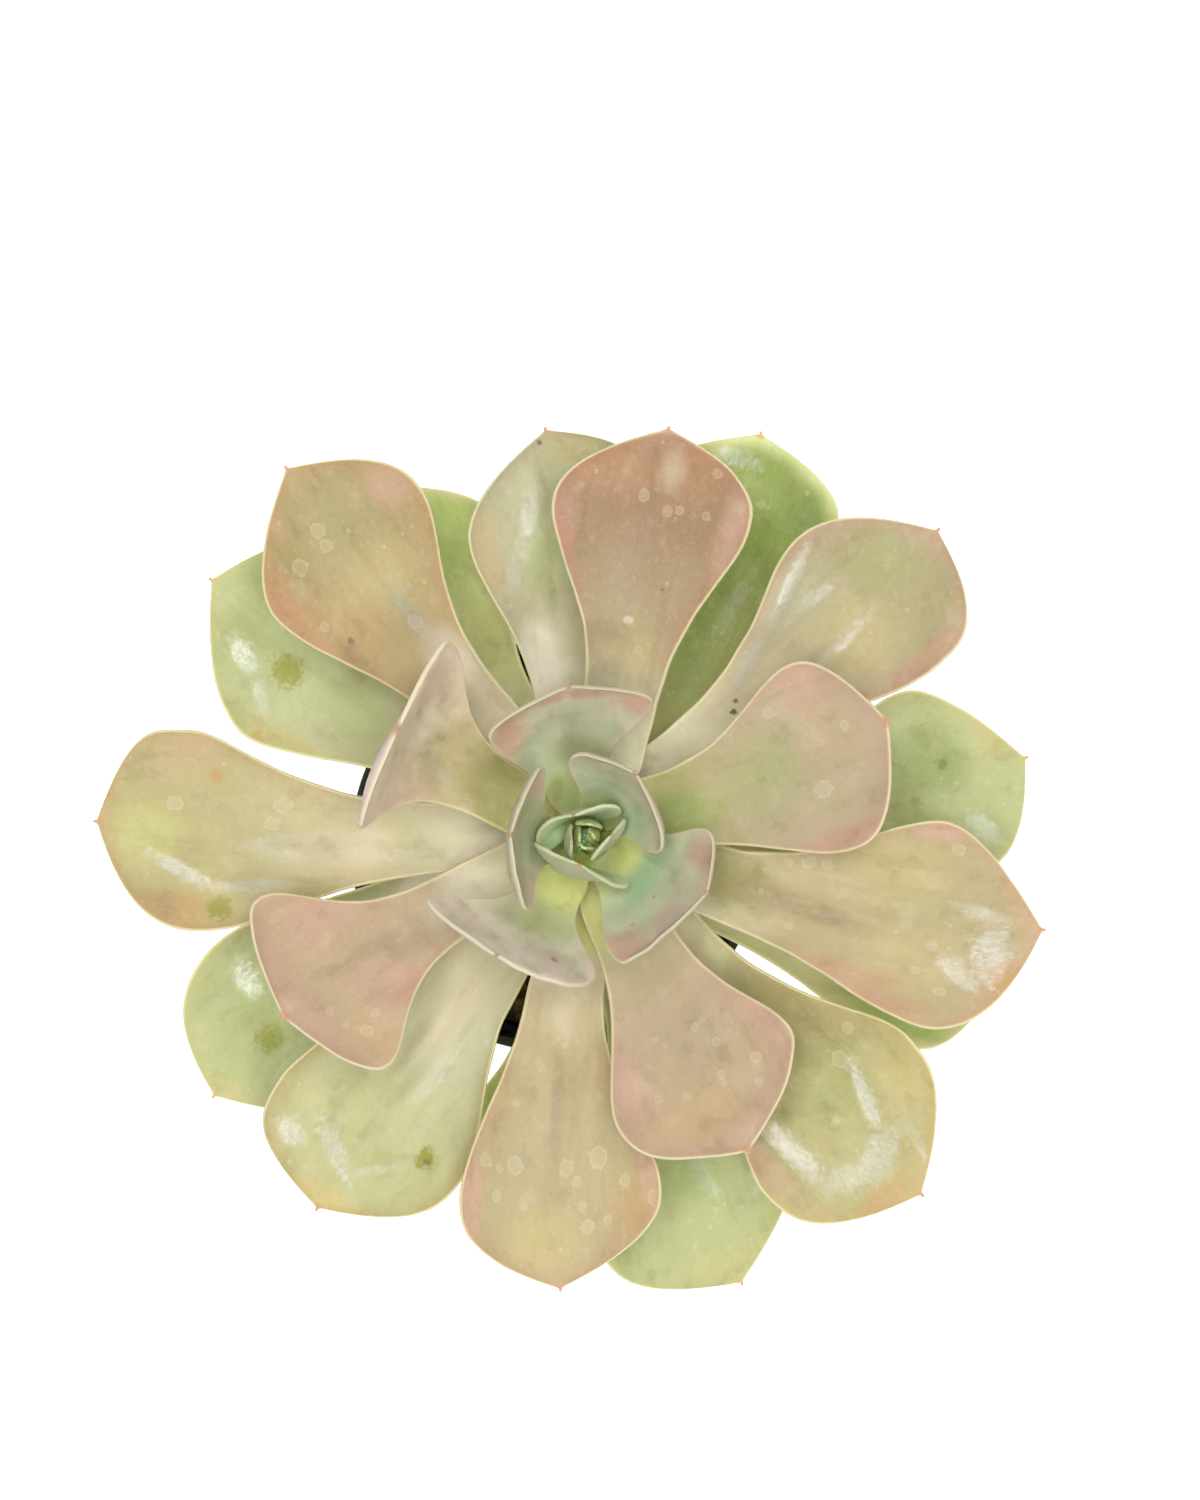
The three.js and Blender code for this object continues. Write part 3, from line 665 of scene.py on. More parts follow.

# Colours of a leaf's upper face: by the stem, in the middle, outer part, and
# the flush that spreads from the margin. The colours by the stem are the leaf's
# own pale base and also painted light, lightened where the rosette shades it; the
# heart's and the steep and lower leaves' colours are lightened as painted light too
TINTS = {
    "tan": ((236, 230, 200), (194, 178, 134), (190, 174, 128), (200, 168, 130)),
    "amber": ((240, 234, 206), (196, 176, 128), (177, 159, 106), (194, 158, 112)),
    "brown": ((238, 238, 208), (180, 160, 124), (166, 130, 94), (186, 142, 112)),
    "pink": ((218, 212, 170), (194, 172, 140), (202, 176, 140), (206, 172, 146)),
    "green_pink": ((196, 192, 124), (188, 178, 136), (196, 176, 142), (206, 172, 148)),
    # Painted light: outer colours lightened where this steep leaf turns away from the light
    "pink_lightened_for_shade": ((198, 196, 124), (198, 182, 138), (246, 234, 208), (236, 210, 186)),
    "olive": ((240, 234, 208), (206, 196, 156), (176, 164, 118), (188, 158, 128)),
    "yellow_olive": ((244, 238, 200), (166, 156, 102), (190, 182, 124), (202, 182, 124)),
    "grey_olive": ((246, 236, 220), (188, 178, 142), (190, 186, 144), (168, 160, 130)),
    "ochre": ((232, 224, 198), (200, 190, 142), (188, 178, 120), (192, 166, 116)),
    "yellow_green": ((226, 216, 182), (200, 198, 158), (194, 192, 136), (180, 166, 108)),
    "light_green": ((210, 202, 162), (196, 196, 150), (184, 190, 132), (196, 194, 136)),
    "deep_green": ((190, 182, 132), (138, 152, 80), (152, 168, 80), (232, 236, 176)),
    # Painted light: lightened where these lowest leaves lie in the shade of those above
    "under_green_lightened_for_shade": ((236, 228, 200), (208, 208, 150), (190, 202, 128), (222, 208, 170)),
    "blue_green": ((230, 238, 176), (190, 200, 164), (204, 196, 166), (216, 186, 166)),
    # Painted light: outer colours lightened where this steep leaf turns away from the light
    "lilac_lightened_for_shade": ((226, 234, 168), (208, 206, 174), (246, 236, 220), (240, 216, 200)),
    "heart": ((214, 224, 130), (180, 216, 164), (188, 210, 162), (184, 196, 146)),
    "bud": ((110, 148, 74), (100, 150, 88), (124, 168, 106), (180, 200, 134)),
}


def look(tint, slot, back=GREEN_BACK, flush=9.0, bloom=0.05, drops=0.3, rough=0.44, gloss=0.08,
         cream=0.32, mottle=0.8, point=POINT, edge=CREAM, patches=(), rings=(), marks=()):
    """How a leaf is coloured. Flush and cream are widths in mm from the margin,
    and patches, rings and marks lie at places in mm across and along the leaf."""
    return dict(tint=[srgb(*shade) for shade in TINTS[tint]], slot=slot, back=back, flush=flush, bloom=bloom,
                drops=drops, rough=rough, gloss=gloss, cream=cream, mottle=mottle, point=point, edge=edge,
                patches=patches, rings=rings, marks=marks, shine=())


def heart_look(*patches):
    return look("heart", "heart_leaf", back=SAGE_BACK, flush=2, bloom=0.12, drops=0, rough=0.4, gloss=0.1,
                cream=0.2, mottle=0.6, edge=SAGE_EDGE, patches=patches)


def inner_look(flush, patches, tint="blue_green", back=SAGE_BACK, **spots):
    return look(tint, "inner_leaf", back=back, flush=flush, bloom=0.15, drops=0.08, rough=0.46,
                cream=0.28, mottle=0.7, edge=SAGE_EDGE, patches=patches, **spots)


def upper_look(tint, patches, **spots):
    return look(tint, "upper_leaf", back=LILAC_BACK, flush=10, bloom=0.1, drops=0.2, rough=0.46,
                cream=0.42, patches=patches, **spots)


def lower_look(flush, patches, **spots):
    return look("light_green", "lower_leaf", flush=flush, point=PALE_POINT, patches=patches, **spots)


def under_look(*patches):
    return look("under_green_lightened_for_shade", "lower_leaf", flush=3, patches=patches)


# By age: the small heart leaves first, the lowest leaves last. A patch is
# (across, along, half width, half length, paint, strength), a ring or mark
# (across, along, radius) with a mark's paint and strength
LOOKS = {
    1: heart_look((0, 2, 3, 4, GREEN, 0.7)),
    2: heart_look((0, 2, 4, 4, GREEN, 0.6)),
    3: heart_look((0, 4, 6, 5, LIME, 0.7), (-5, 12, 3, 4, GREY, 0.6)),
    4: heart_look((0, 5, 5, 6, LIME, 0.7), (7, 14, 3.5, 5, GREY, 0.5)),
    5: inner_look(1.6, (
        (-6, 13, 6, 8, MINT, 0.5), (4, 12, 6, 7, JADE, 0.25), (6, 24, 8, 5, GREY, 0.5),
        (-9, 24, 2, 4, OLIVE, 0.3),
    ), rings=((5.5, 23.5, 1.7),)),
    # Leaf 6: the moss patch 11 mm along is painted shade beside the heart
    6: inner_look(4, (
        (-6, 20, 7, 9, OLIVE, 0.4), (5, 24, 7, 7, UMBER, 0.12), (-1, 11, 7, 6, MOSS, 0.25),
        (11, 22, 4, 7, LILAC, 0.4), (-11, 24, 3, 8, PINK, 0.5),
    )),
    7: inner_look(4, (
        (1, 6, 7, 6, LIME, 0.8), (-2, 14, 9, 6, MINT, 0.8), (7, 28, 4, 6, ROSE, 0.6),
        (-18, 25, 6, 8, ROSE, 0.6), (-9, 28, 7, 5, LILAC, 0.6),
    ), marks=((-12.6, 20.6, 0.7, ROSE, 0.9), (-5, 20, 0.5, UMBER, 0.6))),
    8: inner_look(3, (
        (13, 29, 5, 10, ROSE, 0.7), (-14, 33, 6, 5, ROSE, 0.6), (0, 19, 7, 6, OLIVE, 0.5),
        (4, 6, 7, 7, GREEN, 0.6), (-2, 28, 8, 6, GREY, 0.4), (0, 36, 14, 2.2, ROSE, 0.6),
    ), rings=((0.5, 35.5, 1.3),)),
    9: inner_look(3, (
        (1, 8, 9, 7, LIME, 0.8), (2, 18, 9, 7, GREEN, 0.5), (9, 31, 14, 7, LILAC, 0.45),
        (-9, 33, 9, 6, LILAC, 0.4),
    ), marks=((9.2, 29, 1.1, UMBER, 0.8),), tint="lilac_lightened_for_shade", back=LILAC_BACK),
    10: upper_look("green_pink", (
        (-2, 15, 7, 10, GREEN, 0.8), (2, 36, 10, 10, GREEN, 0.3), (14, 54, 9, 9, PINK, 0.6),
        (-19, 49, 4, 12, ROSE, 0.5), (4, 54, 10, 9, TAN, 0.4),
    ), rings=((-7, 47.8, 2.4), (12, 44, 1.6), (3, 58, 1.3))),
    11: upper_look("pink_lightened_for_shade", (
        (-1, 19, 9, 9, OLIVE, 0.7), (-8, 28, 5, 8, OLIVE, 0.4), (9, 40, 8, 12, PINK, 0.45),
        (0, 50, 12, 9, LILAC, 0.3), (-12, 52, 7, 9, PINK, 0.5),
    )),
    12: upper_look("pink", (
        (-6, 9, 5, 14, LIME, 0.6), (17, 50, 6, 11, ROSE, 0.25), (-6, 60, 13, 7, TAN, 0.7),
        (0, 18, 6, 10, OLIVE, 0.35), (-15, 50, 5, 10, PINK, 0.6),
    ), rings=((5.6, 47.2, 1.2), (3.1, 54.4, 1.3), (-10.5, 52.7, 1.1), (-5.3, 54.7, 1.1),
              (-5.7, 40.5, 0.9), (11, 55, 1.6), (9, 60, 1.1), (-4, 42.5, 0.7), (3, 42, 1.1))),
    13: look("brown", "upper_leaf", flush=7, cream=0.42, patches=(
        (10, 74, 10, 7, ORANGE, 0.5), (-8, 76, 9, 7, ORANGE, 0.35), (-17, 68, 4, 9, PINK, 0.4),
        (19, 59, 4, 12, ROSE, 0.4), (-16, 60, 4, 9, PINK, 0.4), (2, 58, 3, 14, UMBER, 0.35),
        (-2, 75, 3.5, 6, BEIGE, 0.35), (-1, 36, 6, 9, GOLD, 0.3),
    ), rings=((-10.3, 67, 1.1), (-4.7, 67, 1.2), (-11.2, 75.9, 1.3), (3, 69, 1.6), (-1.5, 36, 1.2)),
        marks=((1.8, 42, 1.2, CHALK, 0.5), (-4, 50, 0.5, SPECK, 0.5))),
    14: upper_look("pink", (
        (7, 50, 8, 10, PINK, 0.5), (15, 58, 9, 8, TAN, 0.7), (11, 42, 5, 9, ROSE, 0.5),
        (-1, 47, 2.5, 10, UMBER, 0.35), (-12, 55, 8, 9, PINK, 0.5), (0, 20, 9, 13, PALE_PAINTED_LIGHT, 0.5),
    ), rings=((12.5, 58.8, 1.7), (4.8, 63.2, 1.2), (9, 62, 0.9), (10.5, 55, 1.2))),
    # Leaf 15: the olive patch 24 mm along and the umber patch 34 mm along are painted shade from the leaves
    # above its base
    15: look("tan", "middle_leaf", flush=6, patches=(
        (11, 63, 9, 13, GOLD, 0.45), (-8, 66, 9, 12, GOLD, 0.4), (3, 66, 6, 12, OLIVE, 0.25),
        (-0.5, 45, 1.8, 14, UMBER, 0.5), (-12, 54, 4, 14, ROSE, 0.4), (-17, 63, 3.5, 10, ROSE, 0.4),
        (21, 72, 3.5, 9, PINK, 0.8), (-10, 85, 6, 5, OCHRE, 0.8), (2, 24, 9, 15, OLIVE, 0.85),
        (1, 34, 4, 12, UMBER, 0.4),
    ), rings=((16.7, 75.3, 1.7), (8.9, 38.4, 1.1), (10.1, 42.8, 1.9), (10, 46.8, 1.4), (-9, 68, 1.1),
              (-13, 73, 1.3))),
    16: look("amber", "middle_leaf", flush=6, patches=(
        (-15, 80, 6, 7, PINK, 0.6), (-2, 80, 9, 9, OLIVE, 0.3), (17, 72, 6, 14, ORANGE, 0.6),
        (-3, 64, 10, 9, GOLD, 0.4), (9, 60, 8, 12, OCHRE, 0.4), (-2, 56, 1.6, 9, GREY, 0.5),
        (14, 54, 5, 9, UMBER, 0.3), (-3, 40, 6, 12, PALE_PAINTED_LIGHT, 0.5),
    ), rings=((-2.7, 76.6, 0.7), (13.4, 64.2, 1.2), (2.3, 80.4, 1.9), (2.9, 76.9, 1.7), (9.7, 76.6, 2.1),
              (-2, 52.8, 2.0)),
        marks=((11.1, 58.5, 0.8, SPECK, 0.6), (12, 57.5, 1.6, UMBER, 0.4))),
    17: look("tan", "middle_leaf", flush=6, patches=(
        (-0.5, 51, 1.8, 19, UMBER, 0.5), (15.6, 73, 7, 9, OCHRE, 0.5), (-3, 80, 10, 8, GOLD, 0.6),
        (-19, 70, 4, 11, PINK, 0.8), (0, 30, 3, 12, BEIGE, 0.5), (19, 66, 3, 9, PINK, 0.6),
        (3, 14, 6, 7, LIME, 0.8),
    ), rings=((-8.8, 64.6, 2.2), (8.4, 62.8, 2.6), (1.8, 64.9, 2.0), (4, 67.9, 1.3), (20.2, 71.5, 1.9),
              (-15.2, 63.7, 1.6), (-12.1, 65.2, 1.0), (-12.7, 70.9, 1.4), (6.1, 77.2, 1.8),
              (10.4, 76, 1.2), (14.1, 67.6, 1.5), (8.7, 50.1, 1.0), (5, 73, 1.2), (-7, 73, 0.9),
              (-9, 52, 1.1), (0.5, 39, 0.8))),
    18: look("olive", "middle_leaf", flush=6, patches=(
        (-18, 73, 4, 13, ROSE, 0.4), (4, 80, 9, 8, GREEN, 0.3), (-4, 66, 9, 10, GOLD, 0.35),
        (10, 60, 5, 14, GREY, 0.3),
    ), marks=((3, 37.3, 0.6, SPECK, 0.8), (1.5, 35.5, 0.8, SPECK, 0.9))),
    19: look("ochre", "middle_leaf", flush=5, patches=(
        (-15, 80, 7, 10, TAN, 0.6), (1.5, 87, 8, 9, LIME, 0.3), (17, 80, 5.5, 11, OCHRE, 0.7),
        (16, 84, 4, 8, UMBER, 0.3), (3, 44, 8, 13, BEIGE, 0.7), (0, 28, 6, 10, GREEN, 0.2),
    ), rings=((-5.2, 81.6, 2.0), (-2.3, 61, 1.9), (-6.2, 59.1, 2.4)),
        marks=((-11.7, 73.4, 1.8, OCHRE, 0.9), (-5.6, 94.6, 1.4, OCHRE, 0.8),
               (16.1, 71.1, 3.0, BLOT, 0.7))),
    20: look("yellow_olive", "middle_leaf", flush=5, patches=(
        (2, 68, 10, 11, GREEN, 0.3), (15, 78, 6, 9, GOLD, 0.5), (-19, 70, 4, 12, PINK, 0.5),
        (-6, 92, 10, 4, OCHRE, 0.6), (4, 45, 6, 12, OLIVE, 0.3),
    ), rings=((8.1, 65.4, 2.4), (14, 62, 1.6))),
    21: look("grey_olive", "middle_leaf", flush=5, patches=(
        (15, 58, 4.5, 12, TAN, 0.6), (3, 54, 7, 11, GREEN, 0.4), (-6, 78, 8, 5, GOLD, 0.5),
        (5, 32, 7, 13, PALE_PAINTED_LIGHT, 0.7),
    ), marks=((1.4, 78.6, 0.7, SPECK, 0.8),)),
    22: look("yellow_green", "middle_leaf", flush=4, patches=(
        (-5, 66, 10, 12, GREEN, 0.2), (1, 89, 13, 5, GOLD, 0.8), (1, 42, 4, 13, BEIGE, 0.6),
        (-3, 52, 2, 10, UMBER, 0.25),
    ), marks=((13.4, 69.8, 2.8, BLOT, 0.9), (5.7, 75.9, 4, BLOT, 0.3), (13.8, 70.5, 1.0, SPECK, 0.5))),
    23: lower_look(4, (
        (4, 70, 9, 8, MOSS, 0.45), (6, 63, 9, 10, GREEN, 0.5), (6, 82, 7, 5, GOLD, 0.4),
        (-8, 60, 6, 12, GREEN, 0.5),
    ), marks=((4, 71, 1.6, MOSS, 0.8), (-2, 63.5, 1.2, BLOT, 0.5))),
    24: lower_look(5, (
        (-8, 76, 8, 10, GREEN, 0.4), (19, 58, 5, 12, GOLD, 0.5), (4, 50, 8, 10, GREEN, 0.3),
    ), rings=((-12, 79, 1.6),), marks=((5.4, 66.1, 4.2, BLOT, 0.85), (20.7, 63.1, 1.6, OCHRE, 0.8))),
    25: lower_look(4, ((-3, 68, 11, 9, GREEN, 0.5), (-3, 88, 11, 5, GOLD, 0.3)), drops=0.7),
    26: look("deep_green", "lower_leaf", flush=4, point=PALE_POINT, patches=(
        (-5, 74, 11, 10, GREEN, 0.3), (-15, 72, 4, 9, MOSS, 0.6), (-10, 46, 6, 14, OLIVE, 0.5),
        (9, 80, 6, 6, GOLD, 0.2), (16, 62, 4, 16, LIME, 0.35),
    )),
    27: lower_look(4, (
        (-4, 66, 12, 14, GREEN, 0.4), (2, 90, 9, 4, GOLD, 0.3), (0, 26, 9, 16, PALE_PAINTED_LIGHT, 0.9),
    ), marks=((1.7, 75.4, 3.6, BLOT, 0.8),)),
    28: under_look((-12, 78, 6, 8, GREEN, 0.4), (-8, 50, 9, 14, BEIGE, 0.5)),
    29: under_look((0, 66, 9, 12, GREEN, 0.6), (0, 44, 7, 12, OLIVE, 0.3)),
    30: under_look(),
}
BUD_LOOK = look("bud", "heart_leaf", flush=0.8, bloom=0, drops=0, rough=0.2, gloss=0.6, cream=0.22,
                mottle=0.5, point=LIME)

# Long folds and dents in a leaf's skin, in leaf coordinates in mm:
# (across, along) of both ends, then their width and height
FOLDS = {
    15: ((-9, 74, -3, 81, 3.4, 0.3), (2, 77, 3, 84, 1.8, 0.25), (-1, 30, 0, 60, 2.6, -0.4),
         (4, 34, 5, 56, 2.4, 0.3)),
    18: ((16, 72, 6, 38, 2.4, 0.5), (-2, 70, -4, 52, 2.2, 0.4), (9, 70, 9, 60, 2, 0.25),
         (12, 66, 2, 36, 2, -0.3)),
    19: ((6, 86, 12, 66, 2.6, 0.3),),
    20: ((9, 67, 3, 84, 2.6, 0.4), (-14, 66, -8, 82, 3.2, -0.3), (-10, 84, 0, 86, 3.4, 0.3)),
    21: ((4, 74, 3, 62, 2.6, 0.4), (0, 60, 2, 50, 2, -0.3)),
    22: ((-8, 76, 1, 82, 3, 0.3), (2, 81, 9, 75, 3, 0.3), (0, 66, -1, 44, 2.6, -0.4)),
    24: ((8, 76, 14, 66, 3, 0.3),),
    26: ((6, 78, -2, 82, 2.6, 0.3), (-4, 60, -6, 30, 2.8, -0.3)),
    27: ((-9, 76, -10, 64, 3.2, 0.3),),
}

# Streaks where the waxy skin is glossier and a pale highlight is painted on:
# (across, along) of both ends of a streak in mm, then its half width and strength
SHINE = {
    10: ((5, 50, 12, 46, 2, 0.3),),
    11: ((3, 26, 1, 38, 1.6, 0.5),),
    15: ((4.5, 77, 2, 86, 1.5, 0.8), (-2, 83.5, -8, 82, 4.2, 1), (-7, 74, -11, 79, 2.4, 0.7)),
    16: ((-2, 50, -4, 62, 3, 0.3),),
    18: ((17, 71, 11, 56, 1.6, 1), (9.4, 51, 5, 38, 1.8, 1), (-2.3, 70, -2.8, 55, 1.5, 0.8),
         (7.6, 69, 9.4, 60, 1.4, 0.6)),
    19: ((6, 85, 11, 74, 1.8, 1), (11.6, 71, 10.4, 58, 1.6, 0.9), (2, 48, 3, 66, 3, 0.3)),
    20: ((9.3, 68, 3.4, 82, 1.8, 1), (3, 84, -4, 86, 3.6, 1), (-4, 86, -12, 82, 3, 0.7),
         (-12.7, 66, -12.4, 80, 2.8, 1), (9, 84, 6, 93, 1.4, 0.5)),
    21: ((3.4, 69, 6, 60, 2.2, 0.8), (6, 60, 10, 50, 2, 0.4)),
    22: ((-15, 80, -12.5, 81, 2.4, 0.9), (-8, 76, 1, 82, 2.2, 0.9), (1, 82, 9, 75, 1.1, 0.6),
         (4, 60, 5, 50, 2.4, 0.4)),
    23: ((-14, 77, -9, 74, 2.2, 0.7),),
    24: ((7.6, 77, 9, 73, 2.4, 1), (10.5, 70, 15.5, 65, 1.6, 0.7)),
    25: ((0, 66, 2, 73, 2.4, 0.5), (11, 76, 13, 72, 2, 0.4)),
    26: ((7, 80, -1, 80, 2.2, 0.8), (-6, 44, -8, 58, 1.8, 0.4)),
    27: ((-13, 69, -8, 70, 2.6, 1),),
    30: ((0, 50, 2, 60, 2, 0.4),),
}


def blob(g, patch, ragged):
    """How much of a soft ragged patch covers a place, from 0 to 1."""
    across, along, wide, long = patch
    near = g.scaled(g.place, (1 / wide, 1 / long, 0.0), (-across / wide, -along / long, 0.0))
    return g.step(g.plus(g.length(near), ragged), 0.35, 1.15, 1.0, 0.0)


def shine_cover(g, streaks, ragged):
    """How far a soft ragged streak of shine covers a place, from 0 to its strength."""
    total = 0.0
    for x0, y0, x1, y1, wide, strength in streaks:
        middle = ((x0 + x1) / 2, (y0 + y1) / 2, 0.0)
        half = math.hypot(x1 - x0, y1 - y0) / 2 + wide
        near = g.framed(g.place, middle, math.atan2(y1 - y0, x1 - x0), (half, wide, 1e6))
        cover = g.step(g.plus(g.length(near), ragged), 0.45, 1.25, strength, 0.0)
        total = g.most(cover, total)
    return total


def ring_cover(g, rings, ragged):
    """Dried drops at known places: pale discs, each with a slightly brighter rim."""
    nearest = None
    for across, along, radius in rings:
        scale = (1.35 / radius, 1.15 / radius, 0.0)
        near = g.length(g.scaled(g.place, scale, (-across * scale[0], -along * scale[1], 0.0)))
        nearest = near if nearest is None else g.math("MINIMUM", nearest, near)
    nearest = g.plus(nearest, ragged)
    inside = g.step(nearest, 0.75, 1.05, 0.55, 0.0)
    rim = g.step(g.math("ABSOLUTE", g.less(nearest, 0.88)), 0.05, 0.22, 1.0, 0.0)
    return g.most(inside, rim)


def scattered_drops(g, share_of, seed):
    """Sparse dried drops of uneven size over the whole leaf."""
    spot = 0.0
    for scale, small, large, part in ((0.16, 0.04, 0.2, 0.5), (0.42, 0.05, 0.22, 0.35)):
        warped = g.scaled(g.place, (scale, 0.85 * scale, 0.0), (seed * 3.1, seed * 1.7, 0.0))
        distance, tone = g.cells(warped, 1.0)
        red, green, blue = g.split(tone)
        radius = g.plus(g.step(g.times(red, red), 0.0, 1.0, small, large), g.sway(g.fine, 0.12))
        inside = g.step(g.less(distance, radius), -0.03, 0.015, 1.0, 0.0)
        kept = g.math("LESS_THAN", green, share_of * part)
        cover = g.times(g.times(inside, kept), g.step(blue, 0.0, 1.0, 0.2, 0.9))
        spot = g.most(cover, spot)
    return spot


class LeafGraph(Graph):
    """A leaf's material, with its leaf coordinates and its patterns of noise."""

    def __init__(self, name):
        super().__init__(name)
        self.place = self.attribute("leaf_place", "Vector")
        self.gap = self.attribute("leaf_gap")
        self.share = self.attribute("leaf_share")
        self.back = self.attribute("leaf_back")
        self.to_tip = self.attribute("leaf_tip")
        self.broad = self.pattern((0.06, 0.05, 1.7), 2.0)
        self.patchy = self.pattern((0.2, 0.15, 2.3), 4.0, 0.6)
        self.fine = self.pattern((0.85, 0.7, 1.3), 4.0, 0.65)
        self.grain = self.pattern((2.8, 2.6, 1.1), 3.0, 0.7)
        self.streak = self.pattern((0.3, 0.045, 2.9), 3.0, 0.55)
        self.crinkle = self.pattern((1.3, 0.55, 3.1), 6.0, 0.72)
        self.zone = self.plus(self.share, self.sway(self.patchy, 0.35))

    def pattern(self, scale, detail, roughness=0.5):
        """Noise over the leaf. The third scale works on the age, so each leaf differs."""
        return self.noise(self.scaled(self.place, scale), 1.0, detail, roughness)


def zones(g, style):
    """The leaf's three shades from base to tip, and the flush from the margin of its outer half."""
    base, body, outer, flushed = style["tint"]
    colour = g.mix(base, body, g.step(g.zone, 0.12, 0.5))
    colour = g.mix(colour, outer, g.step(g.zone, 0.5, 0.85))
    width = style["flush"]
    reach = g.plus(g.gap, g.sway(g.broad, width * 2.4))
    flush = g.step(reach, -0.2 * width, width, 1.0, 0.0)
    flush = g.times(flush, g.step(g.share, 0.3, 0.7, 0.1, 1.0))
    return g.mix(colour, flushed, g.times(flush, 0.75))


def patched(g, colour, patches):
    ragged = g.sway(g.patchy, 0.9)
    for *patch, paint, strength in patches:
        colour = g.mix(colour, paint, g.times(blob(g, patch, ragged), strength))
    return colour


def marked(g, colour, marks):
    ragged = g.sway(g.fine, 2.2)
    for across, along, radius, paint, strength in marks:
        cover = blob(g, (across, along, radius, radius), ragged)
        colour = g.mix(colour, paint, g.times(cover, strength))
    return colour


def mottled(g, colour, amount):
    """Streaks along the leaf, soft clouds and fine flecks."""
    deep = g.mix(colour, MOTTLE_DEEP, 1.0, "MULTIPLY")
    light = g.mix(colour, MOTTLE_LIGHT, 0.5)
    for pattern, start, full, paint, strength in (
            (g.streak, 0.5, 0.8, deep, 0.4),
            (g.patchy, 0.52, 0.74, light, 0.45),
            (g.patchy, 0.48, 0.28, deep, 0.5),
            (g.fine, 0.55, 0.8, deep, 0.22),
            (g.fine, 0.48, 0.28, light, 0.3),
            (g.grain, 0.55, 0.8, deep, 0.12),
            (g.grain, 0.45, 0.25, light, 0.15)):
        if start < full:
            cover = g.step(pattern, start, full)
        else:
            cover = g.step(pattern, full, start, 1.0, 0.0)
        colour = g.mix(colour, paint, g.times(cover, strength * amount))
    return colour


def dried_drops(g, style, seed):
    """Drops at known places and scattered ones, none of them at the very margin."""
    drop = scattered_drops(g, style["drops"], seed)
    if style["rings"]:
        drop = g.most(drop, ring_cover(g, style["rings"], g.sway(g.fine, 1.1)))
    return g.times(drop, g.step(g.gap, 0.8, 2.0))


def gloss_and_painted_highlight(g, streaks):
    """How glossy the skin is and how strongly a highlight is painted on it, crinkled like the skin."""
    if not streaks:
        return 0.0
    shine = shine_cover(g, streaks, g.sway(g.fine, 1.6))
    return g.times(shine, g.step(g.crinkle, 0.36, 0.58, 0.28, 1.0))


def underside(g, style):
    under = g.mix(style["back"], style["tint"][0], g.step(g.zone, 0.1, 0.5, 0.7, 0.0))
    return g.mix(under, BACK_STREAK, g.step(g.streak, 0.5, 0.8, 0.0, 0.25))


def margin_and_point(g, colour, style, size):
    """A blush, then the pale margin, then the point, over both faces."""
    cream = style["cream"]
    gap = g.plus(g.gap, g.sway(g.fine, 0.35 * cream))
    blush = g.times(g.step(gap, cream, cream * 5, 1.0, 0.0), g.step(g.share, 0.3, 0.7))
    colour = g.mix(colour, style["tint"][3], g.times(blush, 0.35))
    rim = g.times(g.step(gap, cream * 0.5, cream * 1.6, 1.0, 0.0), g.step(g.back, 0.3, 0.7, 1.0, 0.1))
    colour = g.mix(colour, style["edge"], g.times(rim, g.step(g.share, 0.1, 0.3, 0.3, 0.75)))
    point = max(size, 0.35)
    return g.mix(colour, style["point"], g.step(g.to_tip, 0.8 * point, 2 * point, 0.85, 0.0))


def leaf_material(name, style, size, seed):
    """Waxy leaf skin: zones and patches of colour, pale margin, point, bloom, drops and marks."""
    g = LeafGraph(name)
    colour = patched(g, zones(g, style), style["patches"])
    colour = mottled(g, colour, style["mottle"])
    powder = g.step(g.plus(g.patchy, g.times(g.grain, 0.3)), 0.5, 0.8, 1.0, 0.35)
    colour = g.mix(colour, POWDER, g.times(powder, style["bloom"]))
    drop = dried_drops(g, style, seed)
    colour = g.mix(colour, DRIED_DROP, g.times(drop, 0.26))
    colour = marked(g, colour, style["marks"])
    shine = gloss_and_painted_highlight(g, style["shine"])
    # Painted highlight: a pale colour laid over the glossy streaks
    colour = g.mix(colour, PAINTED_HIGHLIGHT, g.times(shine, 0.4))
    colour = g.mix(colour, underside(g, style), g.step(g.back, 0.4, 0.9))
    colour = margin_and_point(g, colour, style, size)

    rough = g.step(g.patchy, 0.3, 0.7, style["rough"] - 0.06, style["rough"] + 0.08)
    rough = g.plus(g.plus(rough, g.times(drop, 0.12)), g.sway(g.grain, 0.12))
    relief = g.plus(g.times(g.fine, 0.8), g.plus(g.times(g.grain, 0.25), g.times(g.streak, 0.4)))
    relief = g.plus(relief, g.times(drop, 0.12))
    depth = max(size, 0.4)
    g.set(
        Base_Color=colour,
        Roughness=g.less(rough, g.times(shine, 0.12)),
        Normal=g.bump(relief, 0.4, 0.0003 * depth),
        Coat_Normal=g.bump(g.plus(relief, g.crinkle), 0.4, 0.00014 * depth),
        Subsurface_Weight=0.25,
        Subsurface_Scale=0.002,
        Coat_Weight=g.plus(g.times(shine, 0.9), style["gloss"]),
        Coat_Roughness=0.17,
        Coat_IOR=1.7,
        Specular_IOR_Level=0.4,
    )
    g.shader.inputs["Subsurface Radius"].default_value = (1.0, 0.8, 0.35)
    return g.material


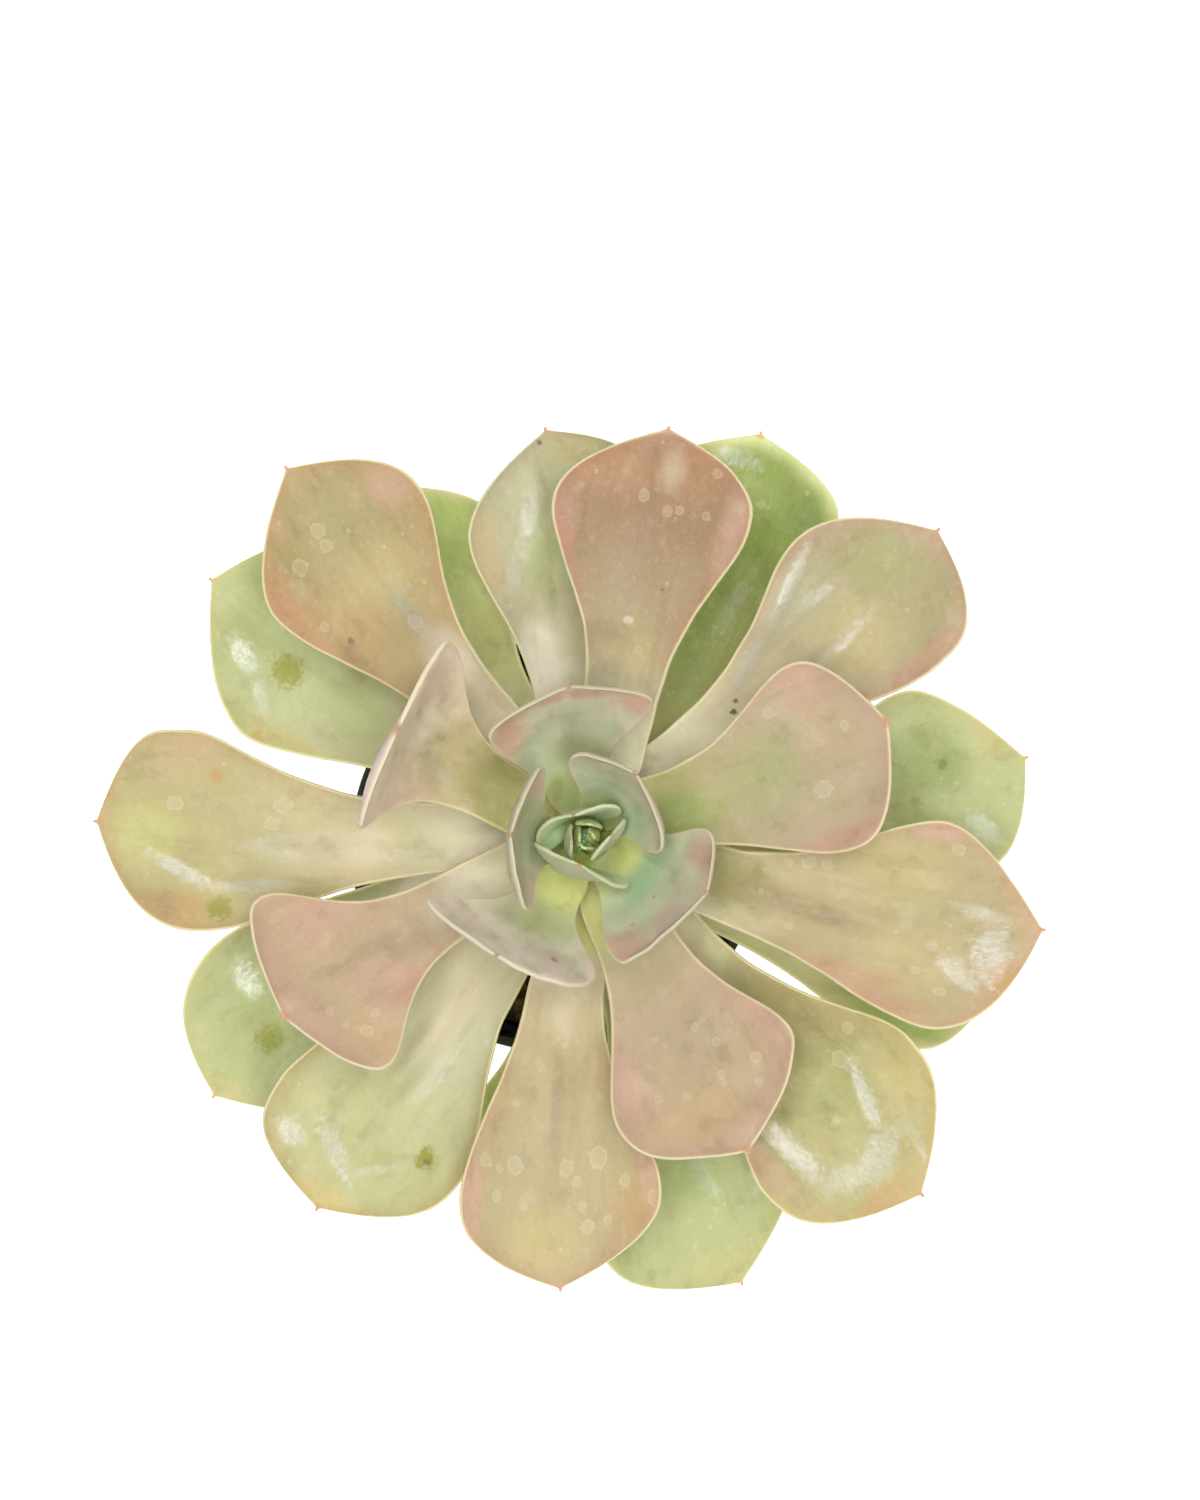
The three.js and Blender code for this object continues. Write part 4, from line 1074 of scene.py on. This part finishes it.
def make_leaves():
    for shape in LEAVES:
        age = shape["age"]
        name = f"leaf_{age:02d}_skin"
        heart = age <= HEART_LEAVES
        obj = leaf_mesh(name, [shape], *(HEART_GRID if heart else LEAF_GRID))
        size = 0.3 if heart else 0.45 if age <= INNER_LEAVES else 1.0
        style = {**LOOKS[age], "shine": SHINE.get(age, ())}
        obj.data.materials.append(leaf_material(name, style, size, age))
        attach(obj, BODY)
        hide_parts(f"leaf_{age:02d}")


def make_bud():
    obj = leaf_mesh("bud_skin", BUD_LEAVES, *BUD_GRID)
    obj.data.materials.append(leaf_material("bud_skin", BUD_LOOK, 0.12, 0))
    low = STEM_TOP_HEIGHT + SEAT_GAP
    core = lathe("bud_core", [
        (0, low), (BUD_RADIUS - 0.2, low), (BUD_RADIUS, STEM_TOP_HEIGHT + 1.5),
        (BUD_RADIUS * 0.7, STEM_TOP_HEIGHT + 0.8 * BUD_CORE_HEIGHT),
        (0, STEM_TOP_HEIGHT + BUD_CORE_HEIGHT),
    ], 32, (STEM_X, STEM_Y))
    core.data.materials.append(obj.data.materials[0])
    for piece in (obj, core):
        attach(piece, BODY)
        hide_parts("bud")


def make_bud_drops():
    ball = bmesh.new()
    for x, y, height, radius in BUD_DROPS:
        made = bmesh.ops.create_icosphere(ball, subdivisions=3, radius=radius * MM)
        for vertex in made["verts"]:
            vertex.co.z *= DROP_FLATNESS
            vertex.co += Vector((STEM_X + x, STEM_Y + y, height)) * MM
    mesh = bpy.data.meshes.new("bud_drops")
    ball.to_mesh(mesh)
    ball.free()
    drops = finish_mesh("bud_drops", mesh)
    g = Graph("water_drops")
    place = g.object_place()
    cloud = g.noise(place, 900.0, 2.0)
    colour = g.mix(srgb(84, 132, 80), srgb(160, 200, 150), g.step(cloud, 0.4, 0.6))
    drops.data.materials.append(g.set(Base_Color=colour, Roughness=0.08, Specular_IOR_Level=0.6,
                                      Coat_Weight=1.0, Coat_Roughness=0.03))
    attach(drops, BODY)
    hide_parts("bud")


# Pot, soil and stem

def lathe(name, profile, sides, centre=(0, 0)):
    """A body turned round a vertical axis from (radius, height) points in mm.
    A height may also be a function of x and y."""
    points, starts, faces = [], [], []
    for radius, height in profile:
        starts.append(len(points))
        for k in range(sides if radius else 1):
            a = math.tau * k / sides
            x, y = centre[0] + radius * math.cos(a), centre[1] + radius * math.sin(a)
            points.append((x * MM, y * MM, (height(x, y) if callable(height) else height) * MM))
    for a, b, (low_radius, _), (high_radius, _) in zip(starts, starts[1:], profile, profile[1:]):
        for k in range(sides):
            n = (k + 1) % sides
            if not low_radius:
                faces.append((a, b + k, b + n))
            elif not high_radius:
                faces.append((a + k, a + n, b))
            else:
                faces.append((a + k, a + n, b + n, b + k))
    mesh = bpy.data.meshes.new(name)
    mesh.from_pydata(points, [], faces)
    return finish_mesh(name, mesh)


def wall_radius(height):
    return blend(FOOT_RADIUS, SHOULDER_RADIUS, height / (POT_HEIGHT - RIM_DEPTH))


def pot_material():
    g = Graph("pot_plastic")
    place = g.object_place()
    cloud = g.noise(place, 60.0, 3.0)
    grain = g.noise(place, 1400.0, 2.0)
    scuff = g.noise(g.scaled(place, (1.0, 1.0, 0.12)), 420.0, 4.0, 0.7)
    dust = g.noise(place, 240.0, 5.0, 0.65)
    colour = g.mix(srgb(24, 25, 28), srgb(36, 37, 40), g.step(cloud, 0.35, 0.7))
    colour = g.mix(colour, srgb(96, 82, 64), g.step(dust, 0.6, 0.82, 0.0, 0.35))
    rough = g.plus(g.step(scuff, 0.4, 0.7, 0.3, 0.5), g.step(dust, 0.55, 0.8, 0.0, 0.25))
    relief = g.plus(g.times(grain, 0.5), scuff)
    return g.set(Base_Color=colour, Roughness=rough, Normal=g.bump(relief, 0.12, 0.0002),
                 Specular_IOR_Level=0.5)


def pot_profile():
    """(radius, height) points round the wall: foot, outside, lip, inside and floor."""
    band = POT_HEIGHT - RIM_DEPTH
    band_radius = wall_radius(band) + RIM_STEP
    inner_band = band_radius - POT_WALL
    lip = POT_HEIGHT - LIP_HEIGHT
    inner_lip = RIM_RADIUS - LIP_WIDTH
    return [
        (0, 0), (FOOT_RADIUS - 4, 0), (FOOT_RADIUS - 1, 0), (FOOT_RADIUS - 0.3, 0.3), (FOOT_RADIUS, 1),
        (wall_radius(20), 20), (wall_radius(45), 45), (wall_radius(band - 0.4), band - 0.4),
        (wall_radius(band) + 0.3, band), (band_radius - 0.2, band + 0.4), (band_radius, band + 0.9),
        (blend(band_radius, RIM_RADIUS, 0.5), band + 3),
        (RIM_RADIUS - LIP_UNDERCUT, lip - 0.4), (RIM_RADIUS - 0.25, lip - 0.15), (RIM_RADIUS, lip + 0.1),
        (RIM_RADIUS, POT_HEIGHT - LIP_ROUNDING), (RIM_RADIUS - 0.15, POT_HEIGHT - 0.15),
        (RIM_RADIUS - LIP_ROUNDING, POT_HEIGHT),
        (inner_lip + LIP_ROUNDING, POT_HEIGHT), (inner_lip + 0.15, POT_HEIGHT - 0.15),
        (inner_lip, POT_HEIGHT - LIP_ROUNDING), (inner_band, band + 0.9), (inner_band - 0.2, band + 0.4),
        (wall_radius(band) - POT_WALL, band - 0.8), (wall_radius(45) - POT_WALL, 45),
        (wall_radius(20) - POT_WALL, 20), (wall_radius(3) - POT_WALL, 3),
        (wall_radius(FLOOR_THICKNESS) - POT_WALL - 1, FLOOR_THICKNESS), (0, FLOOR_THICKNESS),
    ]


def make_drain_cutter():
    """Blocks that stand where the drainage slots go, half of each below the foot."""
    bm = bmesh.new()
    for i in range(DRAIN_COUNT):
        turn = Matrix.Rotation((i + 0.5) * math.tau / DRAIN_COUNT, 4, "Z")
        size = Matrix.Diagonal((2 * DRAIN_REACH * MM, DRAIN_WIDTH * MM, 2 * DRAIN_HEIGHT * MM, 1))
        place = turn @ Matrix.Translation((FOOT_RADIUS * MM, 0, 0)) @ size
        bmesh.ops.create_cube(bm, size=1, matrix=place)
    mesh = bpy.data.meshes.new("drain_cutter")
    bm.to_mesh(mesh)
    bm.free()
    cutter = bpy.data.objects.new("drain_cutter", mesh)
    bpy.context.scene.collection.objects.link(cutter)
    return cutter


def make_pot():
    pot = lathe("pot_shell", pot_profile(), POT_SIDES)
    cutter = make_drain_cutter()
    cut = pot.modifiers.new("drains", "BOOLEAN")
    cut.object = cutter
    cut.operation = "DIFFERENCE"
    cut.solver = "EXACT"
    bpy.context.view_layer.update()
    shell = bpy.data.meshes.new_from_object(pot.evaluated_get(bpy.context.evaluated_depsgraph_get()))
    pot.modifiers.clear()
    pot.data = shell
    bpy.data.objects.remove(cutter)
    crease_smooth(shell, CREASE_ANGLE)
    shell.materials.clear()
    shell.materials.append(pot_material())
    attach(pot, BODY)
    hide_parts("pot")


def crease_smooth(mesh, angle):
    """Smooth shading that stays sharp over edges steeper than the angle."""
    bm = bmesh.new()
    bm.from_mesh(mesh)
    for edge in bm.edges:
        if len(edge.link_faces) == 2 and edge.calc_face_angle(0) > math.radians(angle):
            edge.smooth = False
    for face in bm.faces:
        face.smooth = True
    bm.to_mesh(mesh)
    bm.free()


# Shades of the potting mix: deep, light and fleck
PEAT = (srgb(58, 42, 30), srgb(82, 60, 42), srgb(108, 84, 60))
CRUMB = (srgb(52, 38, 28), srgb(90, 66, 46), srgb(124, 98, 70))
BARK = (srgb(86, 56, 36), srgb(120, 82, 52), srgb(150, 112, 76))
GRIT = (srgb(196, 190, 176), srgb(222, 218, 206), srgb(170, 160, 144))

# Loose pieces: name, count, smallest and largest size in mm, flatness, shades, scale of the grain
SOIL_PIECES = (
    ("soil_crumbs", 1500, (0.35, 1.3), 0.8, CRUMB, 2400.0),
    ("soil_bark", 110, (0.9, 2.4), 0.45, BARK, 1900.0),
    ("soil_grit", 90, (0.5, 1.3), 0.8, GRIT, 2600.0),
)


def soil_material(name, shades, grain_scale):
    g = Graph(name)
    place = g.object_place()
    cloud = g.noise(place, 160.0, 4.0, 0.6)
    grain = g.noise(place, grain_scale, 5.0, 0.7)
    colour = g.mix(shades[0], shades[1], g.step(cloud, 0.35, 0.65))
    colour = g.mix(colour, shades[2], g.step(grain, 0.55, 0.75, 0.0, 0.7))
    return g.set(Base_Color=colour, Roughness=g.step(grain, 0.3, 0.7, 0.8, 0.98),
                 Normal=g.bump(grain, 0.7, 0.0006))


def soil_surface(rng, radius):
    """The height of the soil's top as a function of x and y."""
    waves = [(rng.uniform(0, math.tau), rng.uniform(*SOIL_WAVE_LENGTHS), rng.uniform(0, math.tau))
             for _ in range(SOIL_WAVES)]

    def height(x, y):
        total = 0.0
        for angle, wave, phase in waves:
            run = x * math.cos(angle) + y * math.sin(angle)
            total += wave / SOIL_WAVE_LENGTHS[1] * math.sin(run * math.tau / wave + phase)
        calm = min(1.0, (radius - math.hypot(x, y)) / SOIL_CALM_BAND)
        return SOIL_TOP + SOIL_MOUND + SOIL_ROUGHNESS * total * calm

    return height


def make_soil():
    rng = np.random.default_rng(SOIL_SEED)
    inside = POT_WALL + SOIL_GAP
    radius = wall_radius(SOIL_TOP) - inside - SOIL_FLAT_ALLOWANCE
    foot = FLOOR_THICKNESS + SOIL_GAP
    bend = foot + SOIL_FOOT_CHAMFER
    surface = soil_surface(rng, radius)
    profile = [
        (0, foot), (wall_radius(foot) - inside - SOIL_FOOT_CHAMFER - SOIL_FLAT_ALLOWANCE, foot),
        (wall_radius(bend) - inside - SOIL_FLAT_ALLOWANCE, bend),
        *((radius * (1 - i / SOIL_RINGS), surface) for i in range(SOIL_RINGS)), (0, surface),
    ]
    bed = lathe("soil_bed", profile, SOIL_SIDES)
    bed.data.materials.append(soil_material("soil_peat", PEAT, 1500.0))
    pieces = [bed]
    for name, count, sizes, flat, shades, grain_scale in SOIL_PIECES:
        piece = scatter(name, rng, count, sizes, radius, surface, flat)
        piece.data.materials.append(soil_material(name, shades, grain_scale))
        pieces.append(piece)
    for piece in pieces:
        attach(piece, BODY)
        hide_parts("soil")


def scatter(name, rng, count, sizes, radius, surface, flat):
    """Many small uneven lumps on the soil, joined as one piece."""
    lump = bmesh.new()
    bmesh.ops.create_icosphere(lump, subdivisions=1, radius=1)
    corners = np.array([v.co[:] for v in lump.verts])
    triangles = np.array([[v.index for v in f.verts] for f in lump.faces])
    lump.free()
    points, faces = [], []
    while len(points) < count * len(corners):
        angle = rng.uniform(0, math.tau)
        r = (radius - LUMP_WALL_GAP) * math.sqrt(rng.uniform())
        x, y = r * math.cos(angle), r * math.sin(angle)
        if math.hypot(x - STEM_X, y - STEM_Y) < STEM_RADIUS + LUMP_STEM_GAP:
            continue
        size = blend(*sizes, rng.uniform() ** 2.2)
        stretch = np.array([rng.uniform(0.7, 1.3), rng.uniform(0.7, 1.3), flat])
        dents = rng.uniform(-LUMP_UNEVENNESS, LUMP_UNEVENNESS, (len(corners), 1))
        shape = corners * (1 + dents) * stretch * size
        turn, tilt = rng.uniform(0, math.tau), rng.uniform(-0.5, 0.5)
        rotation = Matrix.Rotation(turn, 3, "Z") @ Matrix.Rotation(tilt, 3, "X")
        shape = shape @ np.array(rotation).T
        z = surface(x, y) + LUMP_RISE * size * flat
        faces.extend((len(points) + triangles).tolist())
        points.extend(map(tuple, (shape + (x, y, z)) * MM))
    mesh = bpy.data.meshes.new(name)
    mesh.from_pydata(points, [], faces)
    return finish_mesh(name, mesh, smooth=False)


def stem_material():
    g = Graph("stem_bark")
    place = g.object_place()
    cloud = g.noise(place, 90.0, 4.0)
    fibre = g.noise(g.scaled(place, (1.0, 1.0, 0.15)), 1200.0, 4.0, 0.65)
    grain = g.noise(place, 1500.0, 3.0, 0.6)
    _, _, z = g.split(place)
    green = g.step(z, 0.07, 0.1)
    bark = g.mix(srgb(120, 100, 70), srgb(152, 134, 92), g.step(cloud, 0.35, 0.65))
    young = g.mix(srgb(136, 146, 78), srgb(164, 170, 98), g.step(cloud, 0.35, 0.65))
    colour = g.mix(bark, young, green)
    colour = g.mix(colour, srgb(92, 76, 52), g.step(fibre, 0.55, 0.8, 0.0, 0.5))
    relief = g.plus(g.times(fibre, 0.7), g.times(grain, 0.5))
    return g.set(Base_Color=colour, Roughness=g.step(grain, 0.3, 0.7, 0.6, 0.8),
                 Normal=g.bump(relief, 0.5, 0.0004))


def scar_relief(z, a, scars):
    """Height of the crescent scars at a place on the stem, in mm."""
    total = 0.0
    for angle, height in scars:
        turn = (a - angle + math.pi) % math.tau - math.pi
        across = turn * STEM_RADIUS / SCAR_HALF_WIDTH
        up = (z - height + 0.7 * across * across) / SCAR_HALF_HEIGHT
        total += SCAR_DEPTH * math.exp(-up * up - across ** 4)
    return total


def make_stem():
    """The stem with the crescent scars of leaves that it has shed."""
    rows, sides = STEM_GRID
    scars = [(math.radians(FIRST_ANGLE + TURN_STEP * age), NEWEST_LEAF_HEIGHT - LEAF_SPACING * age * 0.93)
             for age in SCAR_AGES]
    points, faces = [], []
    for i in range(rows):
        z = blend(SOIL_TOP - STEM_FOOT_DEPTH, STEM_TOP_HEIGHT, i / (rows - 1))
        wall = float(stem_radius(z))
        for k in range(sides):
            a = math.tau * k / sides
            r = wall - STEM_BARK_ALLOWANCE + scar_relief(z, a, scars)
            r += 0.12 * math.sin(5 * a + 0.4 * z) + 0.1 * math.sin(11 * a - 0.9 * z)
            if z > SCARS_END:
                r = min(r, wall - 0.05)
            points.append(((STEM_X + r * math.cos(a)) * MM, (STEM_Y + r * math.sin(a)) * MM, z * MM))
    for i in range(rows - 1):
        a, b = i * sides, (i + 1) * sides
        for k in range(sides):
            n = (k + 1) % sides
            faces.append((a + k, a + n, b + n, b + k))
    faces.append(tuple(range(sides)))
    faces.append(tuple((rows - 1) * sides + k for k in range(sides)))
    mesh = bpy.data.meshes.new("stem_bark")
    mesh.from_pydata(points, [], faces)
    stem = finish_mesh("stem_bark", mesh)
    stem.data.materials.append(stem_material())
    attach(stem, BODY)
    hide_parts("stem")


# Stage

def make_camera():
    data = bpy.data.cameras.new("camera")
    data.lens = CAMERA_LENS
    data.sensor_width = CAMERA_SENSOR
    data.clip_start = 0.01
    camera = bpy.data.objects.new("camera", data)
    camera.location = CAMERA_PLACE
    bpy.context.scene.collection.objects.link(camera)
    bpy.context.scene.camera = camera


# Softboxes round the camera: compass angle, lean from overhead and power
SOFTBOXES = (
    ("upper_left", 120, 19, 2.0),
    ("lower_left", -158, 21, 2.0),
    ("upper_right", 40, 23, 2.0),
    ("lower_right", -48, 23, 2.0),
    ("lower_edge", -76, 43, 1.6),
)
SOFTBOX_DISTANCE = 1.2
SOFTBOX_SIZE = 0.24
FILL_DISTANCE = 1.9
FILL_SIZE = 0.8
FILL_POWER = 10
AIM_HEIGHT = 0.1
SKY_STRENGTH = 0.28
FLOOR_HALF_SIZE = 4.0
FLOOR_GLOW = 0.85


def make_light(name, compass, lean, distance, size, power):
    """A softbox aimed at the plant, by its compass angle and its lean from overhead."""
    data = bpy.data.lights.new(name, "AREA")
    data.shape = "SQUARE"
    data.size = size
    data.energy = power
    light = bpy.data.objects.new(name, data)
    a, b = math.radians(compass), math.radians(lean)
    light.location = (distance * math.sin(b) * math.cos(a), distance * math.sin(b) * math.sin(a),
                      AIM_HEIGHT + distance * math.cos(b))
    light.rotation_euler = (0, b, a)
    bpy.context.scene.collection.objects.link(light)
    return light


def make_floor():
    mesh = bpy.data.meshes.new("floor")
    s = FLOOR_HALF_SIZE
    mesh.from_pydata([(-s, -s, 0), (s, -s, 0), (s, s, 0), (-s, s, 0)], [], [(0, 1, 2, 3)])
    floor = bpy.data.objects.new("floor", mesh)
    bpy.context.scene.collection.objects.link(floor)
    g = Graph("floor_white")
    faint = g.noise(g.object_place(), 6.0, 2.0)
    colour = g.mix(srgb(250, 250, 250), srgb(246, 246, 246), faint)
    mesh.materials.append(g.set(Base_Color=colour, Roughness=0.9, Emission_Color=srgb(255, 255, 255),
                                Emission_Strength=FLOOR_GLOW))


def make_stage():
    make_floor()
    world = bpy.data.worlds.new("studio")
    bpy.context.scene.world = world
    world.use_nodes = True
    sky = world.node_tree.nodes["Background"]
    sky.inputs["Color"].default_value = (1, 1, 1, 1)
    sky.inputs["Strength"].default_value = SKY_STRENGTH
    for name, compass, lean, power in SOFTBOXES:
        make_light(name, compass, lean, SOFTBOX_DISTANCE, SOFTBOX_SIZE, power)
    fill = make_light("fill", 0, 0, FILL_DISTANCE, FILL_SIZE, FILL_POWER)
    fill.visible_glossy = False
    bpy.context.scene.view_settings.view_transform = "Standard"


make_camera()
make_stage()
make_leaves()
make_bud()
make_bud_drops()
make_pot()
make_soil()
make_stem()
